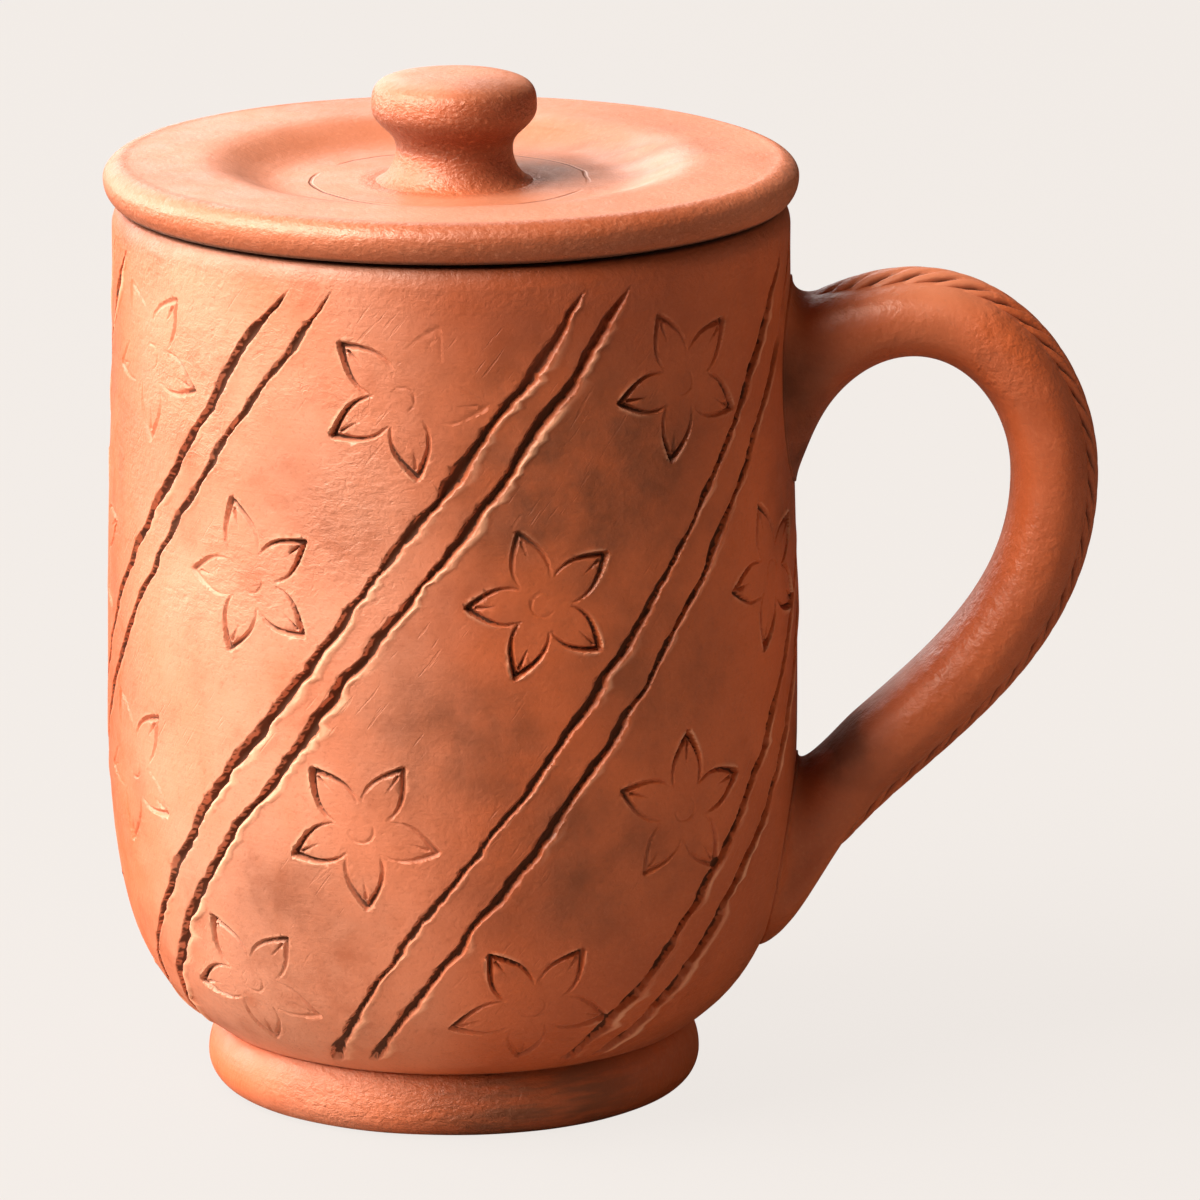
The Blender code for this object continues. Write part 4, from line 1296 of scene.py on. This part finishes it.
def burnished_relief(place, grain):
    """The body's fine relief in metres: dimples, creases, nicks, and the marks of wheel and pebble."""
    _, _, up = place.parts()
    on_foot = up.between(BASE_HEIGHT + 0.0006, BASE_HEIGHT)
    under_rim = up.between(RIM_HEIGHT - 0.0075, RIM_HEIGHT - 0.0040)
    rough_patch = place.far_from(ROUGH_PATCH).between(0.034, 0.010)
    rough_patch = rough_patch * place.noise(80, 2).between(0.36, 0.58)
    dimples = place.noise(1050, 3, 0.62, 0.2)
    worn = 0.25 + place.noise(38, 2).between(0.40, 0.64) * 0.75
    height = dimples * (worn + under_rim) * 0.00010 + grain * 0.000035
    creases = stretched(place, 620, 620, 980).noise(1.0, 4, 0.66, 0.3)
    creased = rough_patch * 1.3 + place.far_from(FOOT_CREASES).between(0.024, 0.008) * on_foot * 2.4
    height = height + creases * creased * 0.00022
    nicks = place.noise(620, 2, 0.5, 0.6).between(0.63, 0.68) * (0.15 + rough_patch * 0.5)
    wheel_lines = stretched(place, 45, 45, 2600).noise(1.0, 2)
    strokes = stretched(along_the_bands(place, up), 1500, 1500, 230).noise(1.0, 2)
    scratches = strokes.between(0.62, 0.72) * place.noise(70, 2).between(0.48, 0.60)
    height = height + wheel_lines * 0.000020 + strokes * 0.000018
    return height - nicks * 0.00006 - scratches * 0.000035


def burnished_clay():
    """The body's clay: rubbed almost to a sheen, clouded by smoke and painted shade, and painted dark in
    the cuts.
    """
    material, start = new_clay("body_clay")
    place = from_axis(start)
    grain = place.noise(1900, 3, 0.6)
    cut = painted(start, "carved")
    rough = 0.47 + place.noise(300, 3).between(0.3, 0.7) * 0.14 + cut.between(0.1, 0.5) * 0.40
    tone = burnished_tone(start, place, grain, cut)
    finished(start, tone, rough, burnished_relief(place, grain), 0.66)
    return material


def handled_clay():
    """The handle's clay: wiped with a wet hand, wrinkled, sooty and painted with shade towards the roots,
    with a painted highlight on the crest and painted shade in the rope's notches.
    """
    material, start = new_clay("handle_clay")
    place = from_axis(start)
    tone = colour(start, 0.48, 0.090, 0.022)
    tone = tone.mixed((0.40, 0.070, 0.017), place.noise(45, 3, 0.55).between(0.38, 0.66))
    grain = place.noise(1700, 3, 0.6)
    tone = tone.mixed((0.56, 0.160, 0.060), grain.between(0.52, 0.80) * 0.35)
    tone = tone.mixed((0.32, 0.075, 0.025), grain.between(0.48, 0.24) * 0.35)
    # Soot and painted shade darken the strap's roots, where they meet the wall
    soot = painted(start, "soot") * (0.5 + place.noise(150, 4).between(0.3, 0.7) * 0.6)
    tone = tone.mixed((0.085, 0.019, 0.006), soot.math("MINIMUM", 1.0) * 0.85)
    # Painted highlight on the top of the strap's crest
    tone = tone.mixed((0.70, 0.27, 0.14), place.far_from(CREST_HIGHLIGHT).between(0.0120, 0.0030) * 0.42)
    # Painted shade in the rope's notches
    cut = painted(start, "carved")
    tone = tone.mixed((0.10, 0.023, 0.009), cut.between(0.10, 0.60) * 0.85)
    wrinkles = place.noise(800, 3, 0.60, 0.2)
    worn = 0.20 + place.noise(60, 2).between(0.40, 0.56) * 0.80
    height = grain * 0.000040 + wrinkles * worn * 0.00030
    rough = 0.44 + place.noise(260, 3).between(0.3, 0.7) * 0.14 + soot * 0.40
    finished(start, tone, rough, height, 0.62)
    return material


def wiped_clay():
    """The lid's clay: paler, wiped on the wheel, with fine rings left by the sponge, and painted shade on
    its edge, at its seam, in the scribed ring and on the knob.
    """
    material, start = new_clay("lid_clay")
    place = from_axis(start)
    x, y, up = place.parts()
    far = (x * x + y * y).math("SQRT")
    edge = far.between(LID_RADIUS - 0.0035, LID_RADIUS - 0.0015)
    low_edge_shade = edge * up.between(LID_SEAT + 0.0036, LID_SEAT + 0.0010)
    seam_shadow = up.between(LID_SEAT + 0.0006, LID_SEAT + 0.0001)
    knob = far.between(KNOB_BASE_RADIUS + 0.0020, KNOB_BASE_RADIUS - 0.0010)
    lit_crown = up.between(KNOB_TOP - 0.0030, KNOB_TOP - 0.0012)
    neck = up.between(KNOB_TOP - 0.0035, KNOB_TOP - 0.0065)
    neck = neck * up.between(DISH_HEIGHT + 0.0030, DISH_HEIGHT + 0.0050)
    spread = place.add("ShaderNodeCombineXYZ", {}, {"X": far * 900, "Y": x * 30, "Z": y * 30})
    rings = spread.noise(1.0, 3, 0.6)
    off_line = (far + (place.noise(110, 2) - 0.5) * 0.0016 - SCRIBED_RADIUS).math("ABSOLUTE")
    scribed = off_line.between(0.00034, 0.00008) * place.noise(70, 1).between(0.36, 0.50)
    wiped = stretched(place, 70, 210, 70).noise(1.0, 3, 0.6).between(0.38, 0.62)
    grain = place.noise(1700, 3, 0.6)
    tone = colour(start, 0.60, 0.200, 0.099)
    tone = tone.mixed((0.52, 0.150, 0.065), place.noise(30, 3, 0.55).between(0.40, 0.66))
    tone = tone.mixed((0.44, 0.115, 0.042), rings.between(0.52, 0.72) * 0.25)
    # Painted shade in the scribed ring
    tone = tone.mixed((0.24, 0.050, 0.015), scribed * 0.65)
    # Painted shade on the lid's upright edge, darker on its lower half
    tone = tone.mixed((0.49, 0.112, 0.038), edge * 0.70)
    tone = tone.mixed((0.33, 0.064, 0.018), low_edge_shade * 0.50)
    # Painted shade on the lid's edge near the same place
    tone = tone.mixed((0.33, 0.066, 0.019), place.far_from(RIM_SHADE_MIDDLE).between(0.032, 0.012) * edge * 0.80)
    # Painted shade on the knob, with its top left lighter
    tone = tone.mixed((0.46, 0.092, 0.026), knob * (0.85 - lit_crown * 0.85))
    # Painted shade under the knob's head
    tone = tone.mixed((0.16, 0.028, 0.007), knob * neck * 0.88)
    # A darker streaky patch on the dish right of the knob
    dark_patch = place.far_from(DISH_DARK_PATCH).between(0.019, 0.006) * (0.25 + wiped * 0.45)
    tone = tone.mixed((0.36, 0.094, 0.038), dark_patch)
    # Painted shade on the knob's right side
    tone = tone.mixed((0.20, 0.042, 0.013), place.far_from(KNOB_SHADE).between(0.0105, 0.0030) * 0.88)
    tone = tone.mixed((0.72, 0.27, 0.14), grain.between(0.52, 0.80) * 0.40)
    tone = tone.mixed((0.40, 0.105, 0.040), grain.between(0.46, 0.24) * 0.35)
    # Painted shadow at the seam; it darkens all of the lid below its seat, the flange too
    tone = tone.mixed((0.06, 0.014, 0.005), seam_shadow * 0.9)
    edge_lines = stretched(place, 60, 60, 3000).noise(1.0, 2)
    dimples = place.noise(520, 3, 0.6, 0.5)
    wrinkles = stretched(place, 1200, 1200, 1900).noise(1.0, 3, 0.6, 0.2)
    pits = stretched(place, 800, 800, 1300).noise(1.0, 3, 0.62)
    height = grain * 0.000035 + dimples * 0.00008 + rings * 0.000016 + edge_lines * 0.000015
    height = height + wrinkles * knob * (1 - lit_crown * 0.8) * 0.00028
    height = height + pits * edge * 0.00022 - scribed * 0.00016
    rough = 0.42 + place.noise(260, 3).between(0.3, 0.7) * 0.12
    finished(start, tone, rough, height, 0.78)
    return material


def make_stage():
    """A pale floor that looks white to the camera, keeps the shadow and lends the clay little light."""
    reach = FLOOR_HALF_WIDTH
    mesh = bpy.data.meshes.new("floor")
    corners = [(-reach, -reach, 0), (reach, -reach, 0), (reach, reach, 0), (-reach, reach, 0)]
    mesh.from_pydata(corners, [], [(0, 1, 2, 3)])
    material, start = new_clay("pale_floor")
    path = start.add("ShaderNodeLightPath")
    seen = path.out("Is Camera Ray")
    glow = start.add("ShaderNodeEmission", {}, {"Color": (1.0, 0.945, 0.900, 1), "Strength": 1.0})
    bounce = colour(start, 0.42, 0.36, 0.30).mixed((0.16, 0.15, 0.14), seen)
    bounce = bounce.mixed((0.012, 0.010, 0.008), path.out("Is Glossy Ray"))
    matte = start.add("ShaderNodeBsdfDiffuse", {}, {"Color": bounce})
    surface = start.add("ShaderNodeMixShader", {}, {0: seen * 0.84, 1: matte, 2: glow})
    start.add("ShaderNodeOutputMaterial", {}, {"Surface": surface})
    mesh.materials.append(material)
    shown("floor", mesh)


def make_light():
    """Dim warm air, pale to the camera alone, and four large soft lamps."""
    world = bpy.data.worlds.new("studio")
    bpy.context.scene.world = world
    world.use_nodes = True
    world.node_tree.nodes.clear()
    start = Wire(world.node_tree)
    path = start.add("ShaderNodeLightPath")
    seen = path.out("Is Camera Ray")
    strength = 0.09 + seen * 0.91 - path.out("Is Glossy Ray") * 0.07
    tint = colour(start, 1.0, 0.74, 0.55).mixed((0.888, 0.839, 0.799), seen)
    sky = start.add("ShaderNodeBackground", {}, {"Color": tint, "Strength": strength})
    start.add("ShaderNodeOutputWorld", {}, {"Surface": sky})
    for name, (turn, rise, away, width, power) in LAMPS.items():
        light = bpy.data.lights.new(name, "AREA")
        light.size = width
        light.energy = power
        turn, rise = math.radians(turn), math.radians(rise)
        way = Vector((-math.sin(turn) * math.cos(rise), -math.cos(turn) * math.cos(rise), math.sin(rise)))
        lamp = shown(name, light)
        lamp.location = Vector(LAMPS_AIM) + away * way
        lamp.rotation_euler = (-way).to_track_quat("-Z", "Y").to_euler()
        lamp.visible_camera = False
        lamp.visible_glossy = name != "fill"


def make_camera():
    view = bpy.data.cameras.new("camera")
    view.sensor_width = CAMERA_SENSOR
    view.lens = CAMERA_LENS
    camera = shown("camera", view)
    camera.location = CAMERA_PLACE
    camera.rotation_euler = (math.radians(90) - CAMERA_TILT, 0, 0)
    bpy.context.scene.camera = camera


def seat(shape, body, slot, node):
    """Lets a piece stand for its node, on the body that carries it."""
    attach(shape, body)
    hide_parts(node)


body_clay = burnished_clay()
handle_clay = handled_clay()
lid_clay = wiped_clay()
wheel = turning_tree()
body = carve_body(body_clay)
foot = turn_piece("coiled_foot", wheel, foot_line(), FOOT_STEPS, TURNED_WAVER, body_clay)
handle = make_handle(handle_clay)
rope = make_rope(rope_tree(), handle_clay)
lid = turn_piece("dished_lid", wheel, lid_line(), LID_STEPS, TURNED_WAVER, lid_clay)
flange = turn_piece("locating_flange", wheel, flange_line(), FLANGE_STEPS, FLANGE_WAVER, lid_clay)
knob = turn_piece("turned_knob", wheel, knob_line(), KNOB_STEPS, TURNED_WAVER, lid_clay, KNOB_ASIDE)
seat(body, "mug", "body_clay", "mug_body")
seat(foot, "mug", "body_clay", "foot_ring")
seat(handle, "mug", "handle_clay", "handle")
seat(rope, "mug", "handle_clay", "handle_rope")
seat(lid, "lid", "lid_clay", "lid_plate")
seat(flange, "lid", "lid_clay", "lid_flange")
seat(knob, "lid", "lid_clay", "lid_knob")
make_stage()
make_light()
make_camera()
bpy.context.scene.view_settings.view_transform = "Standard"
